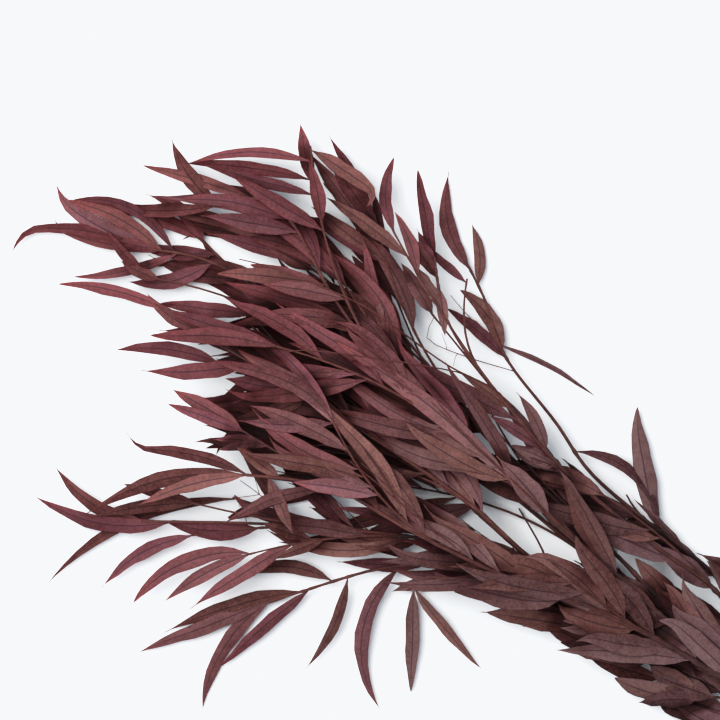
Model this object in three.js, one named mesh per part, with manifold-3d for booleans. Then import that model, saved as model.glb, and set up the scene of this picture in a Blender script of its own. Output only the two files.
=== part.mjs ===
// A bunch of dried, wine-red willow eucalyptus lying on a table.
//
// Eleven leafy stems are bound with twine near their cut ends and fan out from there. Each stem is one
// grown piece: a woody axis, its side twigs and the long sickle-shaped leaves on them. Millimetres, +Z up.
//
// The bunch is laid out on a plan of the table: u to the right and v away, in mm from the twine.
// The finished group is turned so that its length lies along +X, from the cut ends to the leaf tips.

import * as THREE from "three";
import { mergeVertices } from "three/addons/utils/BufferGeometryUtils.js";
import Module from "manifold-3d";

const wasm = await Module();
wasm.setup();

// The bunch as a whole.
const LENGTHWISE = 150; // degrees on the plan, from +u: the way the bunch points
const CUT_END = 68; // from the twine back to the cut ends
const HEAP_LOW = 54; // height of the heap just past the twine
const HEAP_HIGH = 92; // height of the heap in the middle of the foliage
const HEAP_RIM = 0.27; // share of that height left at the sides
const HEAP_END = 0.3; // share of that height left at the tips

// The twine and the stems inside it.
const TWINE = 2.2;
const TWINE_TURNS = 5;
const STEM_BASE = 4.6; // diameters
const STEM_TIP = 1.8;
const TWIG_BASE = 2.2;
const TWIG_TIP = 1.3;
const STEM_PITCH = 52; // between the bends of a stem
const TWIG_PITCH = 38; // and of a twig
const CLEARANCE = 0.4; // between stems that lie side by side
const ROW_STEP = STEM_BASE + CLEARANCE;
const BOUND = 22; // the stems run straight this far past the twine
const SPREAD = 112; // and have their full spread from here on

// The leaves.
const BLADE = 0.7; // thickness at the midrib
const FLAT = 1.3; // what comes this near the table lies flat on it
const LEAF_GAP = 0.35; // kept by each stem to the layers above and below
const MAIN_STEP = 50; // between leaves along a stem
const TWIG_STEP = 36; // and along a twig
const BLADE_STATIONS = [0.06, 0.36, 0.7];

const LEAF_RED = 0x6b3330;
const TWINE_TAN = 0xb08a5a;

// Each stem from the lowest to the highest in the heap: its row and place inside the twine, its route
// on the plan, how far from the twine its own leaves start and end, the heading of the last of them in
// degrees, and its twigs, [distance from the twine, u, v, heading of the last leaf, if it has any of
// those]. Then come the leaves that are seen one by one at the outside of the bunch, from where each
// grows to its tip: [u, v, u, v, turn along the blade and extra turn at the tip in degrees, width].
const STEMS = [
  {
    slot: [0, 0], leafy: [125, 420], lean: 165,
    route: [[-90, 55], [-200, 135], [-310, 225], [-395, 292], [-440, 322]],
    twigs: [[190, -280, 250, 118], [290, -352, 338, 122], [250, -378, 196, 190], [370, -425, 255, 184]],
    leaves: [[-372, 290, -428, 318, 10, 0, 12]],
  },
  {
    slot: [0, 1], leafy: [0, 0], lean: 218,
    route: [
      [-90, 44], [-141, 72], [-212, 103], [-270, 127], [-320, 134], [-367, 130], [-424, 113], [-450, 105],
    ],
    twigs: [[185, -206, 92, 178], [300, -343, 114]],
    leaves: [
      [-402, 128, -474, 124, 55, 0, 10], [-424, 120, -529, 81, 20, 0, 12],
      [-443, 108, -548, 66, 10, 0, 11], [-450, 104, -498, 22, 60, 0, 11],
      [-417, 114, -485, 56, 0, 0, 9.5], [-386, 122, -422, 52, -30, 0, 8],
      [-348, 114, -340, 36, 5, 0, 10.5], [-338, 112, -286, 54, 20, 0, 8],
      [-346, 127, -363, 22, 85, 0, 11], [-300, 128, -355, 113, 10, 0, 11],
      [-326, 141, -397, 136, 0, 0, 10],
    ],
  },
  {
    slot: [0, -1], leafy: [0, 0], lean: 102,
    route: [
      [-70, 70], [-106, 122], [-146, 154], [-202, 201], [-231, 242], [-262, 281], [-275, 305],
      [-283, 332], [-297, 361],
    ],
    twigs: [[190, -151, 160], [232, -177, 187, 150]],
    leaves: [
      [-297, 361, -311, 435, -45, 0, 11], [-282, 348, -294, 393, 25, 0, 8.5],
      [-274, 293, -303, 342, 50, 0, 12], [-274, 284, -313, 328, 10, 0, 9],
      [-218, 220, -151, 152, -90, 0, 9], [-150, 160, -168, 253, -30, 0, 15],
      [-126, 146, -172, 184, 0, 0, 5], [-272, 302, -200, 261, -12, 0, 4.5],
      [-167, 168, -250, 189, 10, 0, 16], [-128, 140, -195, 170, 0, 0, 17],
    ],
  },
  {
    slot: [1, 2], leafy: [92, 230], lean: 176,
    route: [[-92, 32], [-140, 54], [-185, 78], [-215, 92]],
    twigs: [
      [58, -90, 6, 168], [72, -104, 18, 172], [92, -128, 32, 170], [122, -154, 46, 166],
      [150, -180, 64, 172],
    ],
    leaves: [
      [-203, 77, -283, 98, 0, 0, 14], [-128, 28, -160, 58, 0, 0, 17], [-109, 19, -153, 37, 0, 0, 18],
      [-128, 15, -169, 30, 0, 0, 15], [-160, 52, -228, 76, 10, 0, 14], [-150, 38, -213, 69, 0, 0, 14],
      [-112, 24, -160, 52, 0, 0, 16], [-100, 45, -165, 62, 0, 0, 14],
    ],
  },
  {
    slot: [1, 1], leafy: [130, 430], lean: 158,
    route: [[-97, 48], [-200, 110], [-300, 148], [-400, 162], [-470, 166], [-544, 167]],
    twigs: [[360, -465, 142], [390, -475, 185], [420, -507, 182], [430, -507, 156]],
    leaves: [
      [-544, 167, -611, 209, -45, 0, 10], [-518, 169, -627, 186, -40, 0, 12],
      [-475, 185, -618, 117, 50, 0, 8.5], [-504, 179, -584, 169, 20, 0, 10],
      [-507, 190, -557, 195, 10, 0, 8], [-506, 156, -577, 114, 35, 0, 10],
      [-464, 145, -550, 105, 65, 0, 12], [-463, 140, -527, 106, 20, 0, 10],
      [-428, 154, -508, 100, 15, 0, 11], [-454, 158, -529, 167, -25, 0, 13],
      [-450, 180, -479, 169, 0, 0, 8], [-373, 148, -451, 166, 0, 0, 12], [-380, 165, -418, 178, 0, 0, 9],
      [-415, 155, -452, 166, 0, 0, 9], [-405, 150, -445, 138, 15, 0, 8],
    ],
  },
  {
    slot: [1, 0], leafy: [130, 440], lean: 178,
    route: [
      [-90, 54], [-180, 102], [-240, 132], [-288, 172], [-345, 228], [-410, 296], [-462, 346],
      [-500, 366], [-540, 373],
    ],
    twigs: [[330, -400, 270, 165], [470, -502, 382], [500, -544, 352]],
    leaves: [
      [-537, 371, -643, 371, 25, 60, 9], [-540, 366, -611, 400, -30, -50, 7],
      [-529, 377, -609, 423, -35, -30, 13], [-527, 377, -602, 410, 30, 0, 11],
      [-518, 363, -596, 352, -30, 0, 8], [-544, 350, -570, 386, -20, 0, 8],
      [-489, 365, -555, 348, -40, 0, 12], [-486, 371, -548, 375, -5, 0, 11],
      [-495, 379, -543, 415, 55, 0, 11], [-456, 361, -540, 369, -35, 0, 11],
      [-517, 377, -599, 410, 70, 0, 8], [-529, 377, -573, 381, 0, 0, 9],
      [-530, 352, -560, 364, -20, 0, 9], [-435, 320, -472, 313, 0, 0, 7],
      [-403, 280, -474, 279, 0, 0, 11], [-400, 290, -462, 310, 0, 0, 12],
      [-508, 379, -562, 402, 45, 0, 11],
    ],
  },
  {
    slot: [1, -1], leafy: [125, 400], lean: 150,
    route: [[-90, 60], [-142, 98], [-190, 146], [-250, 200], [-318, 274], [-362, 326], [-384, 352]],
    twigs: [[240, -300, 262, 124], [400, -435, 372, 168], [395, -368, 399]],
    leaves: [
      [-368, 399, -404, 462, 0, 0, 8], [-98, 79, -138, 113, 0, 0, 14], [-330, 314, -375, 382, 45, 0, 13],
      [-368, 360, -416, 405, 10, 0, 12], [-368, 390, -402, 440, 10, 0, 12],
      [-426, 357, -495, 384, 20, 0, 12], [-415, 352, -454, 380, 0, 0, 11],
      [-386, 354, -454, 392, 15, 0, 13], [-368, 352, -435, 390, 10, 0, 13],
      [-371, 375, -418, 446, 10, 0, 12], [-350, 318, -385, 368, 10, 0, 12],
      [-345, 308, -372, 352, 0, 0, 11], [-300, 262, -274, 222, 20, 0, 12],
      [-167, 137, -123, 66, 10, 0, 15], [-368, 357, -420, 398, 10, 0, 11],
      [-362, 335, -408, 372, 0, 0, 11], [-290, 232, -345, 272, 0, 0, 14],
      [-296, 222, -320, 262, 0, 0, 12], [-130, 92, -172, 140, 0, 0, 16],
    ],
  },
  {
    slot: [1, -2], leafy: [0, 0], lean: 106,
    route: [[-72, 68], [-114, 118], [-156, 148], [-225, 205], [-279, 268], [-313, 318], [-323, 366]],
    twigs: [[150, -200, 190, 148], [350, -330, 330], [375, -355, 388], [400, -298, 350]],
    leaves: [
      [-355, 390, -353, 443, -40, 0, 9], [-323, 367, -335, 433, -10, 0, 10],
      [-332, 354, -353, 401, 20, 0, 9], [-322, 356, -336, 388, 0, 0, 8], [-298, 350, -335, 379, 0, 0, 7],
      [-322, 345, -315, 306, 0, 0, 8], [-110, 118, -160, 152, 0, 0, 16], [-322, 350, -345, 385, 10, 0, 9],
      [-312, 330, -340, 362, 0, 0, 8], [-336, 368, -405, 412, 10, 0, 10],
      [-258, 243, -375, 297, 0, 0, 15], [-225, 206, -266, 225, 10, 0, 12],
      [-232, 200, -264, 219, 10, 0, 11], [-80, 78, -127, 145, 70, 0, 18], [-92, 95, -118, 138, 35, 0, 15],
      [-237, 223, -262, 265, 35, 0, 9], [-242, 222, -283, 248, 0, 0, 9], [-259, 256, -307, 281, 10, 0, 9],
      [-146, 130, -215, 171, -5, 0, 17], [-322, 322, -348, 362, 10, 0, 11],
    ],
  },
  {
    slot: [2, 0], leafy: [130, 440], lean: 176,
    route: [[-92, 50], [-185, 104], [-245, 136], [-300, 184], [-380, 238], [-440, 275], [-488, 287]],
    twigs: [
      [210, -300, 152, 172], [330, -410, 222, 172], [390, -452, 306], [400, -462, 325], [430, -501, 310],
      [440, -527, 328],
    ],
    leaves: [
      [-527, 328, -607, 346, 30, 0, 9], [-461, 325, -530, 331, 15, 0, 11],
      [-501, 310, -539, 339, -45, 0, 9], [-445, 305, -532, 311, 5, 0, 11],
      [-488, 287, -564, 296, 30, 0, 11], [-460, 285, -544, 281, -20, 0, 12],
      [-424, 290, -496, 284, 20, 0, 12], [-368, 240, -476, 257, 30, 0, 13],
      [-433, 259, -480, 275, 0, 0, 12], [-420, 255, -480, 243, -10, 0, 12],
    ],
  },
  {
    slot: [2, -1], leafy: [120, 440], lean: 155,
    route: [
      [-90, 55], [-142, 88], [-192, 132], [-260, 192], [-340, 262], [-395, 330], [-430, 392], [-458, 410],
      [-490, 404],
    ],
    twigs: [
      [250, -330, 262, 142], [330, -392, 348, 146], [390, -445, 300, 176], [420, -416, 428],
      [440, -416, 450],
    ],
    leaves: [
      [-490, 404, -521, 457, -45, 0, 12], [-460, 413, -543, 436, 10, -5, 9],
      [-426, 427, -509, 437, 20, 0, 9], [-413, 438, -508, 437, 30, 0, 8],
      [-448, 397, -536, 411, 15, 0, 10], [-416, 420, -424, 468, 0, 0, 10],
      [-417, 448, -374, 404, -15, -95, 11], [-234, 176, -278, 218, 0, 0, 16],
      [-426, 410, -499, 436, 10, 0, 9], [-400, 386, -477, 428, 10, 0, 12],
      [-433, 380, -499, 397, 15, 0, 13], [-412, 340, -486, 353, 20, 0, 12],
      [-400, 340, -461, 360, 10, 0, 12], [-385, 316, -452, 323, 15, 0, 12],
      [-263, 200, -398, 304, 5, 0, 13], [-440, 388, -518, 410, 15, 0, 12],
      [-392, 395, -418, 441, 10, 0, 10], [-154, 100, -199, 135, -10, 0, 12],
      [-392, 332, -452, 345, 10, 0, 12],
    ],
  },
  {
    slot: [2, 1], leafy: [110, 380], lean: 176,
    route: [[-95, 45], [-190, 98], [-270, 128], [-340, 162], [-400, 195], [-466, 204]],
    twigs: [[180, -240, 142, 158], [250, -330, 128, 186], [350, -400, 246, 168], [390, -469, 238]],
    leaves: [
      [-469, 236, -519, 267, 5, 0, 13], [-461, 240, -522, 256, 0, 0, 9], [-445, 230, -489, 230, 10, 0, 9],
      [-454, 223, -483, 222, 10, 0, 8], [-437, 206, -470, 224, 0, 0, 9],
      [-466, 203, -554, 237, 35, -70, 9], [-467, 204, -590, 170, 35, 0, 12],
      [-157, 84, -225, 138, 40, 0, 15], [-193, 99, -278, 128, 25, 0, 15],
      [-221, 120, -302, 120, 10, 0, 13], [-386, 203, -459, 254, -50, 0, 13],
      [-383, 225, -461, 255, 25, 0, 12], [-364, 188, -430, 199, 0, 0, 12],
      [-400, 245, -470, 244, -10, 0, 11], [-405, 190, -478, 169, 15, 0, 9],
      [-448, 200, -428, 160, 10, 0, 10], [-128, 66, -234, 73, 5, 0, 15],
      [-466, 203, -545, 180, 20, 0, 10],
    ],
  },
];

// Open places in the foliage and just outside it, [u, v, radius], which the drawn leaves keep clear of.
const OPEN = [
  [-262, 166, 14], [-243, 163, 12], [-284, 225, 8], [-268, 237, 10], [-320, 315, 10], [-295, 283, 12],
  [-232, 222, 9], [-190, 200, 12], [-245, 75, 10], [-265, 85, 9], [-215, 58, 9], [-205, 45, 11],
  [-188, 30, 11], [-320, 106, 12], [-300, 106, 9], [-375, 124, 6], [-400, 117, 6], [-463, 194, 6],
  [-430, 181, 6], [-480, 272, 8], [-482, 214, 7], [-262, 300, 9], [-248, 278, 8], [-124, 118, 8],
  [-115, 108, 8], [-340, 300, 5], [-138, 174, 12], [-305, 262, 5], [-462, 366, 5],
];

// A seeded draw, the same on every run.
let state = 24;
function draw(low, high) {
  state = (state * 1664525 + 1013904223) % 4294967296;
  return low + ((high - low) * state) / 4294967296;
}

const radians = (degrees) => (degrees * Math.PI) / 180;
const mix = (a, b, t) => a + (b - a) * t;
function smooth(low, high, x) {
  const t = Math.min(1, Math.max(0, (x - low) / (high - low)));
  return t * t * (3 - 2 * t);
}

// A plan point from its distance along the bunch and across it.
const LENGTH_U = Math.cos(radians(LENGTHWISE));
const LENGTH_V = Math.sin(radians(LENGTHWISE));
const onPlan = (along, across) => [
  along * LENGTH_U - across * LENGTH_V,
  along * LENGTH_V + across * LENGTH_U,
];

// A line of points with the distance to each, from a smooth curve through the given ones.
function lineThrough(points) {
  const spans = 10;
  const line = [];
  for (let i = 0; i + 1 < points.length; i++) {
    const before = points[Math.max(0, i - 1)];
    const after = points[Math.min(points.length - 1, i + 2)];
    for (let step = i ? 1 : 0; step <= spans; step++) {
      const t = step / spans;
      line.push(
        [0, 1].map((axis) => {
          const [a, b, c, d] = [before, points[i], points[i + 1], after].map((p) => p[axis]);
          return b + 0.5 * t * (c - a + t * (2 * a - 5 * b + 4 * c - d + t * (3 * (b - c) + d - a)));
        }),
      );
    }
  }
  return measured(line);
}

function measured(line) {
  const reach = [0];
  for (let i = 1; i < line.length; i++)
    reach.push(reach[i - 1] + Math.hypot(line[i][0] - line[i - 1][0], line[i][1] - line[i - 1][1]));
  return { line, reach, length: reach[reach.length - 1] };
}

// The point and heading, in degrees, at a distance along a line.
function placeOn({ line, reach }, distance) {
  let i = 1;
  while (i < reach.length - 1 && reach[i] < distance) i++;
  const t = (distance - reach[i - 1]) / (reach[i] - reach[i - 1]);
  const [a, b] = [line[i - 1], line[i]];
  return {
    at: [mix(a[0], b[0], t), mix(a[1], b[1], t)],
    heading: (Math.atan2(b[1] - a[1], b[0] - a[0]) * 180) / Math.PI,
  };
}

// A twig leaves its stem the way the stem runs, and curves over to its own tip.
function twigLine(stemLine, distance, tip) {
  const { at, heading } = placeOn(stemLine, distance);
  const pull = 0.45 * Math.hypot(tip[0] - at[0], tip[1] - at[1]);
  const turn = [Math.cos(radians(heading)) * pull, Math.sin(radians(heading)) * pull];
  const steps = 12;
  const line = [];
  for (let i = 0; i <= steps; i++) {
    const t = i / steps;
    line.push(
      [0, 1].map((k) => (1 - t) ** 2 * at[k] + 2 * t * (1 - t) * (at[k] + turn[k]) + t * t * tip[k]),
    );
  }
  return measured(line);
}

const stems = STEMS.map(({ slot: [row, place], route, leafy, lean, twigs, leaves }, index) => {
  const across = place * ROW_STEP;
  const main = lineThrough([
    onPlan(-CUT_END, across * 1.5),
    onPlan(-BOUND, across),
    onPlan(BOUND, across),
    ...route,
  ]);
  const side = twigs.map(([distance, u, v, heading]) => ({
    ...twigLine(main, CUT_END + distance, [u, v]),
    lean: heading,
    start: CUT_END + distance,
  }));
  Object.assign(main, { lean });
  const layers = [...side.filter((_, i) => i % 2), main, ...side.filter((_, i) => i % 2 === 0)];
  for (const axis of layers) {
    const count = Math.ceil(axis.length / 12);
    axis.marks = Array.from({ length: count + 1 }, (_, i) => placeOn(axis, (axis.length * i) / count).at);
    axis.stem = index;
  }
  const height = TWINE + CLEARANCE + STEM_BASE / 2 + row * ROW_STEP;
  return { main, leafy, twigs: side, leaves, layers, height };
});

// The heap's height over a plan point: low at the twine, high in the middle, falling to all sides.
function heapHeight([u, v]) {
  const along = u * LENGTH_U + v * LENGTH_V;
  const across = -u * LENGTH_V + v * LENGTH_U;
  const ridge = mix(HEAP_LOW, HEAP_HIGH, smooth(70, 380, along)) * mix(1, HEAP_END, smooth(430, 760, along));
  const half = 62 + 0.42 * Math.max(0, Math.min(400, along - 100));
  return ridge * mix(1, HEAP_RIM, smooth(0.2, 1.15, Math.abs(across) / half));
}

// How much a stem or a twig counts over a plan point: less with its distance from there.
function presence(axis, [u, v]) {
  const along = u * LENGTH_U + v * LENGTH_V;
  const range = 18 + 0.09 * Math.max(0, Math.min(450, along));
  let nearest = Infinity;
  for (const [a, b] of axis.marks) nearest = Math.min(nearest, (a - u) ** 2 + (b - v) ** 2);
  return 1 / (1 + nearest / range ** 2);
}

// The heap is shared out in layers, one for each stem, and nothing of a stem leaves its layer.
// In that layer its twigs and the stem itself have layers of their own, in the order of "layers".
const sums = new Map();
function countsOver(point) {
  const key = `${point[0]},${point[1]}`;
  if (!sums.has(key)) sums.set(key, stems.map(({ layers }) => layers.map((axis) => presence(axis, point))));
  return sums.get(key);
}
const sum = (list) => list.reduce((total, count) => total + count, 0);

// The share of its stem's layer that a twig's or stem's own layer reaches, from 0 below to 1 above.
function shareIn(axis, point, own) {
  const counts = countsOver(point)[axis.stem];
  const place = stems[axis.stem].layers.indexOf(axis);
  return (sum(counts.slice(0, place)) + own * counts[place]) / sum(counts);
}

// The height at a share of a stem's layer, for a thing that reaches so far below and above.
function heightIn(stem, point, share, below, above) {
  const counts = countsOver(point).map(sum);
  const total = sum(counts);
  const under = sum(counts.slice(0, stem));
  const heap = heapHeight(point);
  const low = (heap * under) / total + (stem ? LEAF_GAP : 0);
  const high = (heap * (under + counts[stem])) / total - LEAF_GAP;
  const height = low + share * Math.max(0, high - low - below - above);
  return below + (height < FLAT ? 0 : height);
}

// A closed skin over rings of points, which runs out to a point at either end, or is flat there.
// The diagonals alternate, so the upper and lower faces of a thin blade are split alike.
function loft(rings, root, tip) {
  const sides = rings[0].length;
  const points = rings.flat();
  const last = points.length - sides;
  const faces = [];
  const close = (first, point, order) => {
    if (point) points.push(point);
    for (let j = 0; j < (point ? sides : sides - 2); j++) {
      const [a, b, c] = point ? [j, (j + 1) % sides, points.length - 1 - first] : [0, j + 1, j + 2];
      faces.push(...order.map((k) => first + [a, b, c][k]));
    }
  };
  for (let j = 0; j < sides; j++) {
    const next = (j + 1) % sides;
    for (let i = 0; i + 1 < rings.length; i++) {
      const [a, b] = [i * sides + j, i * sides + next];
      const [c, d] = [b + sides, a + sides];
      faces.push(...(j % 2 ? [a, b, d, b, c, d] : [a, b, c, a, c, d]));
    }
  }
  close(0, root, [1, 0, 2]);
  close(last, tip, [0, 1, 2]);
  const geometry = new THREE.BufferGeometry();
  geometry.setAttribute("position", new THREE.Float32BufferAttribute(points.flat(), 3));
  geometry.setIndex(faces);
  return geometry;
}

function solidFrom(geometry) {
  const merged = mergeVertices(geometry, 1e-4);
  return new wasm.Manifold(
    new wasm.Mesh({
      numProp: 3,
      vertProperties: merged.attributes.position.array,
      triVerts: new Uint32Array(merged.index.array),
    }),
  );
}

// A tapered round branch through knots, each with a point in space and a width.
function branch(knots, sides) {
  const rings = knots.map(({ point, width }, i) => {
    const from = knots[Math.max(0, i - 1)].point;
    const to = knots[Math.min(knots.length - 1, i + 1)].point;
    const ahead = new THREE.Vector3().subVectors(to, from).normalize();
    const side = new THREE.Vector3(0, 0, 1).cross(ahead).normalize();
    const up = new THREE.Vector3().crossVectors(ahead, side);
    return Array.from({ length: sides }, (_, j) => {
      const turn = (2 * Math.PI * (j + 0.5)) / sides;
      return point
        .clone()
        .addScaledVector(side, (Math.cos(turn) * width) / 2)
        .addScaledVector(up, (Math.sin(turn) * width) / 2)
        .toArray();
    });
  });
  return loft(rings);
}

// The point on a branch's own centre line, which is straight between its knots.
function pointIn({ knots }, distance) {
  let i = 1;
  while (i < knots.length - 1 && knots[i].distance < distance) i++;
  const [a, b] = [knots[i - 1], knots[i]];
  return a.point.clone().lerp(b.point, (distance - a.distance) / (b.distance - a.distance));
}

// The share of a leaf's full width at a share of its length: a slim petiole, then a long lance shape.
const PETIOLE = 0.06;
const WIDEST = 0.42;
function leafWidth(share) {
  const x = Math.max(0, (share - PETIOLE) / (1 - PETIOLE));
  return 0.12 + 0.88 * ((x / WIDEST) ** WIDEST * ((1 - x) / (1 - WIDEST)) ** (1 - WIDEST)) ** 1.7;
}

// The line of a leaf's midrib on the plan.
function leafPath(leaf, root) {
  const steps = 20;
  const path = [root];
  for (let i = 0; i < steps; i++) {
    const [u, v] = path[i];
    const heading = radians(leaf.heading((i + 0.5) / steps));
    path.push([
      u + (Math.cos(heading) * leaf.length) / steps,
      v + (Math.sin(heading) * leaf.length) / steps,
    ]);
  }
  return path;
}

// The leaves on one axis: alternate, smaller and slimmer towards the tips, and combed over towards
// the axis's own heading. Those on one side rise through its layer and those on the other sink.
function leavesOn(axis, first, last, step) {
  if (last <= first || axis.lean === undefined) return [];
  const leaves = [];
  const rolls = { 1: draw(-34, 22), 0: draw(-20, 20), [-1]: draw(-22, 34) };
  const count = Math.floor((last - first) / step + 0.2);
  for (let i = 0; i <= count; i++) {
    const distance = count ? mix(first, last, i / count) : last;
    const { at, heading } = placeOn(axis, distance);
    const fromTie = Math.hypot(...at);
    const side = i === count ? 0 : i % 2 ? 1 : -1;
    const combed = smooth(axis.start ? -0.2 : 0.3, 0.8, distance / axis.length);
    const turn = ((axis.lean - heading + 540) % 360) - 180;
    const start = heading + (count ? side * draw(22, 44) : 0.7 * turn);
    const finish = heading + turn * combed + side * draw(4, 16) + draw(-9, 9);
    const leaf = {
      axis,
      distance,
      heading: (share) => mix(start, finish, 1 - (1 - share) ** 2),
      length: mix(66, 108, smooth(90, 340, fromTie)) * draw(0.82, 1.15) * (side ? 1 : 0.95),
      width: mix(17, 11.5, smooth(150, 430, fromTie)) * draw(0.82, 1.1),
      lift: 0.5 + side * 0.5 * draw(0.75, 1),
      roll: rolls[side] + draw(-6, 6),
    };
    const over = leafPath(leaf, at);
    if (!OPEN.some(([u, v, radius]) => over.some((p) => Math.hypot(p[0] - u, p[1] - v) < radius)))
      leaves.push(leaf);
  }
  return leaves;
}

// A leaf from the nearest point of its stem, or of one of the stem's twigs, to a tip that is given.
// Its blade turns evenly, and more towards the tip where it is hooked.
function leafTo({ main, twigs }, [fromU, fromV, toU, toV, turn, hook, width]) {
  let best = { gap: Infinity };
  for (const axis of [main, ...twigs])
    for (let distance = axis.start ? 12 : CUT_END + BOUND; distance <= axis.length - 3; distance += 3) {
      const { at } = placeOn(axis, distance);
      const gap = Math.hypot(at[0] - fromU, at[1] - fromV);
      if (gap < best.gap) best = { gap, axis, distance, at };
    }
  const bend = (share) => turn * share + hook * smooth(0.7, 1, share);
  const steps = 20;
  let [u, v] = [0, 0];
  for (let i = 0; i < steps; i++) {
    u += Math.cos(radians(bend((i + 0.5) / steps))) / steps;
    v += Math.sin(radians(bend((i + 0.5) / steps))) / steps;
  }
  const [du, dv] = [toU - best.at[0], toV - best.at[1]];
  const start = ((Math.atan2(dv, du) - Math.atan2(v, u)) * 180) / Math.PI;
  return {
    axis: best.axis,
    distance: best.distance,
    heading: (share) => start + bend(share),
    length: Math.hypot(du, dv) / Math.hypot(u, v),
    width,
    lift: draw(0.2, 1),
    roll: draw(-22, 22),
  };
}

// The share of its stem's layer at which a stem or twig runs. A twig starts inside its stem.
function shareOn(axis, distance) {
  const { at } = placeOn(axis, distance);
  const own = shareIn(axis, at, 0.5);
  if (!axis.start) return own;
  return mix(shareIn(stems[axis.stem].main, at, 0.5), own, smooth(0, 0.7, distance / axis.length));
}

// A leaf blade: its centre line turns from one heading to the other, and each point keeps its
// share of the stem's layer.
function blade(leaf) {
  const index = leaf.axis.stem;
  const root = pointIn(leaf.axis, leaf.distance);
  const rootShare = shareOn(leaf.axis, leaf.distance);
  const path = leafPath(leaf, [root.x, root.y]);
  const steps = path.length - 1;
  const pointAt = (share, across) => {
    const place = Math.min(steps - 1e-9, share * steps);
    const i = Math.floor(place);
    const [a, b] = [path[i], path[i + 1]];
    const [du, dv] = [b[0] - a[0], b[1] - a[1]];
    const size = Math.hypot(du, dv);
    return [
      mix(a[0], b[0], place - i) - (dv / size) * across,
      mix(a[1], b[1], place - i) + (du / size) * across,
    ];
  };
  const shareAt = (share, point) =>
    mix(rootShare, shareIn(leaf.axis, point, mix(0.5, leaf.lift, share)), smooth(0, 0.5, share));
  const rings = BLADE_STATIONS.map((share) => {
    const half = (leaf.width / 2) * leafWidth(share);
    const roll = radians(leaf.roll) * smooth(0.05, 0.5, share);
    const centre = pointAt(share, 0);
    const room = heightIn(index, centre, 1, 0, BLADE) - heightIn(index, centre, 0, 0, BLADE);
    const middle = shareAt(share, centre);
    const rise = (half * Math.sin(roll)) / Math.max(room, 0.1);
    const limit = Math.min(middle, 1 - middle);
    const tilt = Math.max(-limit, Math.min(limit, rise));
    const real = Math.asin(Math.min(1, Math.max(-1, (tilt * room) / half)));
    const [left, right] = [1, -1].map((hand) => {
      const place = pointAt(share, hand * half * Math.cos(real));
      return [...place, heightIn(index, place, middle + hand * tilt, 0, BLADE)];
    });
    const under = [0, 1, 2].map((k) => (left[k] + right[k]) / 2);
    const [su, sv, sz] = [0, 1, 2].map((k) => (left[k] - right[k]) / (2 * half));
    const flat = Math.hypot(su, sv);
    const top = [
      under[0] - (su / flat) * sz * BLADE,
      under[1] - (sv / flat) * sz * BLADE,
      under[2] + flat * BLADE,
    ];
    return [left, top, right, under];
  });
  const tip = pointAt(1, 0);
  return loft(rings, root.toArray(), [...tip, heightIn(index, tip, shareAt(1, tip), 0, 0)]);
}

// One leafy stem as a single solid.
function leafyStem(stem) {
  const { main, leafy, twigs, height } = stem;
  const layered = (axis, at, distance, half) =>
    heightIn(axis.stem, at, shareOn(axis, distance), half, half);
  const lay = (axis, distances, base, tip, sides, heightAt) => {
    axis.knots = distances.map((distance) => {
      const { at } = placeOn(axis, distance);
      const width = mix(base, tip, distance / axis.length);
      return { distance, width, point: new THREE.Vector3(...at, heightAt(at, distance, width / 2)) };
    });
    if (axis.start) axis.knots[0].point = pointIn(main, axis.start);
    return solidFrom(branch(axis.knots, sides));
  };
  const evenly = (from, to, pitch) => {
    const count = Math.ceil((to - from) / pitch);
    return Array.from({ length: count + 1 }, (_, i) => mix(from, to, i / count));
  };
  const distances = [0, CUT_END - BOUND, ...evenly(CUT_END + BOUND, main.length, STEM_PITCH)];
  let solid = lay(main, distances, STEM_BASE, STEM_TIP, 5, (at, distance, half) => {
    const spread = smooth(BOUND, SPREAD, distance - CUT_END);
    return mix(height, layered(main, at, distance, half), spread);
  });
  const leaves = leavesOn(main, CUT_END + leafy[0], Math.min(CUT_END + leafy[1], main.length - 4), MAIN_STEP);
  for (const twig of twigs) {
    const bends = evenly(0, twig.length, TWIG_PITCH);
    const heightAt = (at, distance, half) => layered(twig, at, distance, half);
    solid = solid.add(lay(twig, bends, TWIG_BASE, TWIG_TIP, 4, heightAt));
    leaves.push(...leavesOn(twig, Math.max(20, 0.25 * twig.length), twig.length - 4, TWIG_STEP));
  }
  leaves.push(...stem.leaves.map((row) => leafTo(stem, row)));
  for (const leaf of leaves) solid = solid.add(solidFrom(blade(leaf)));
  return solid;
}

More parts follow.
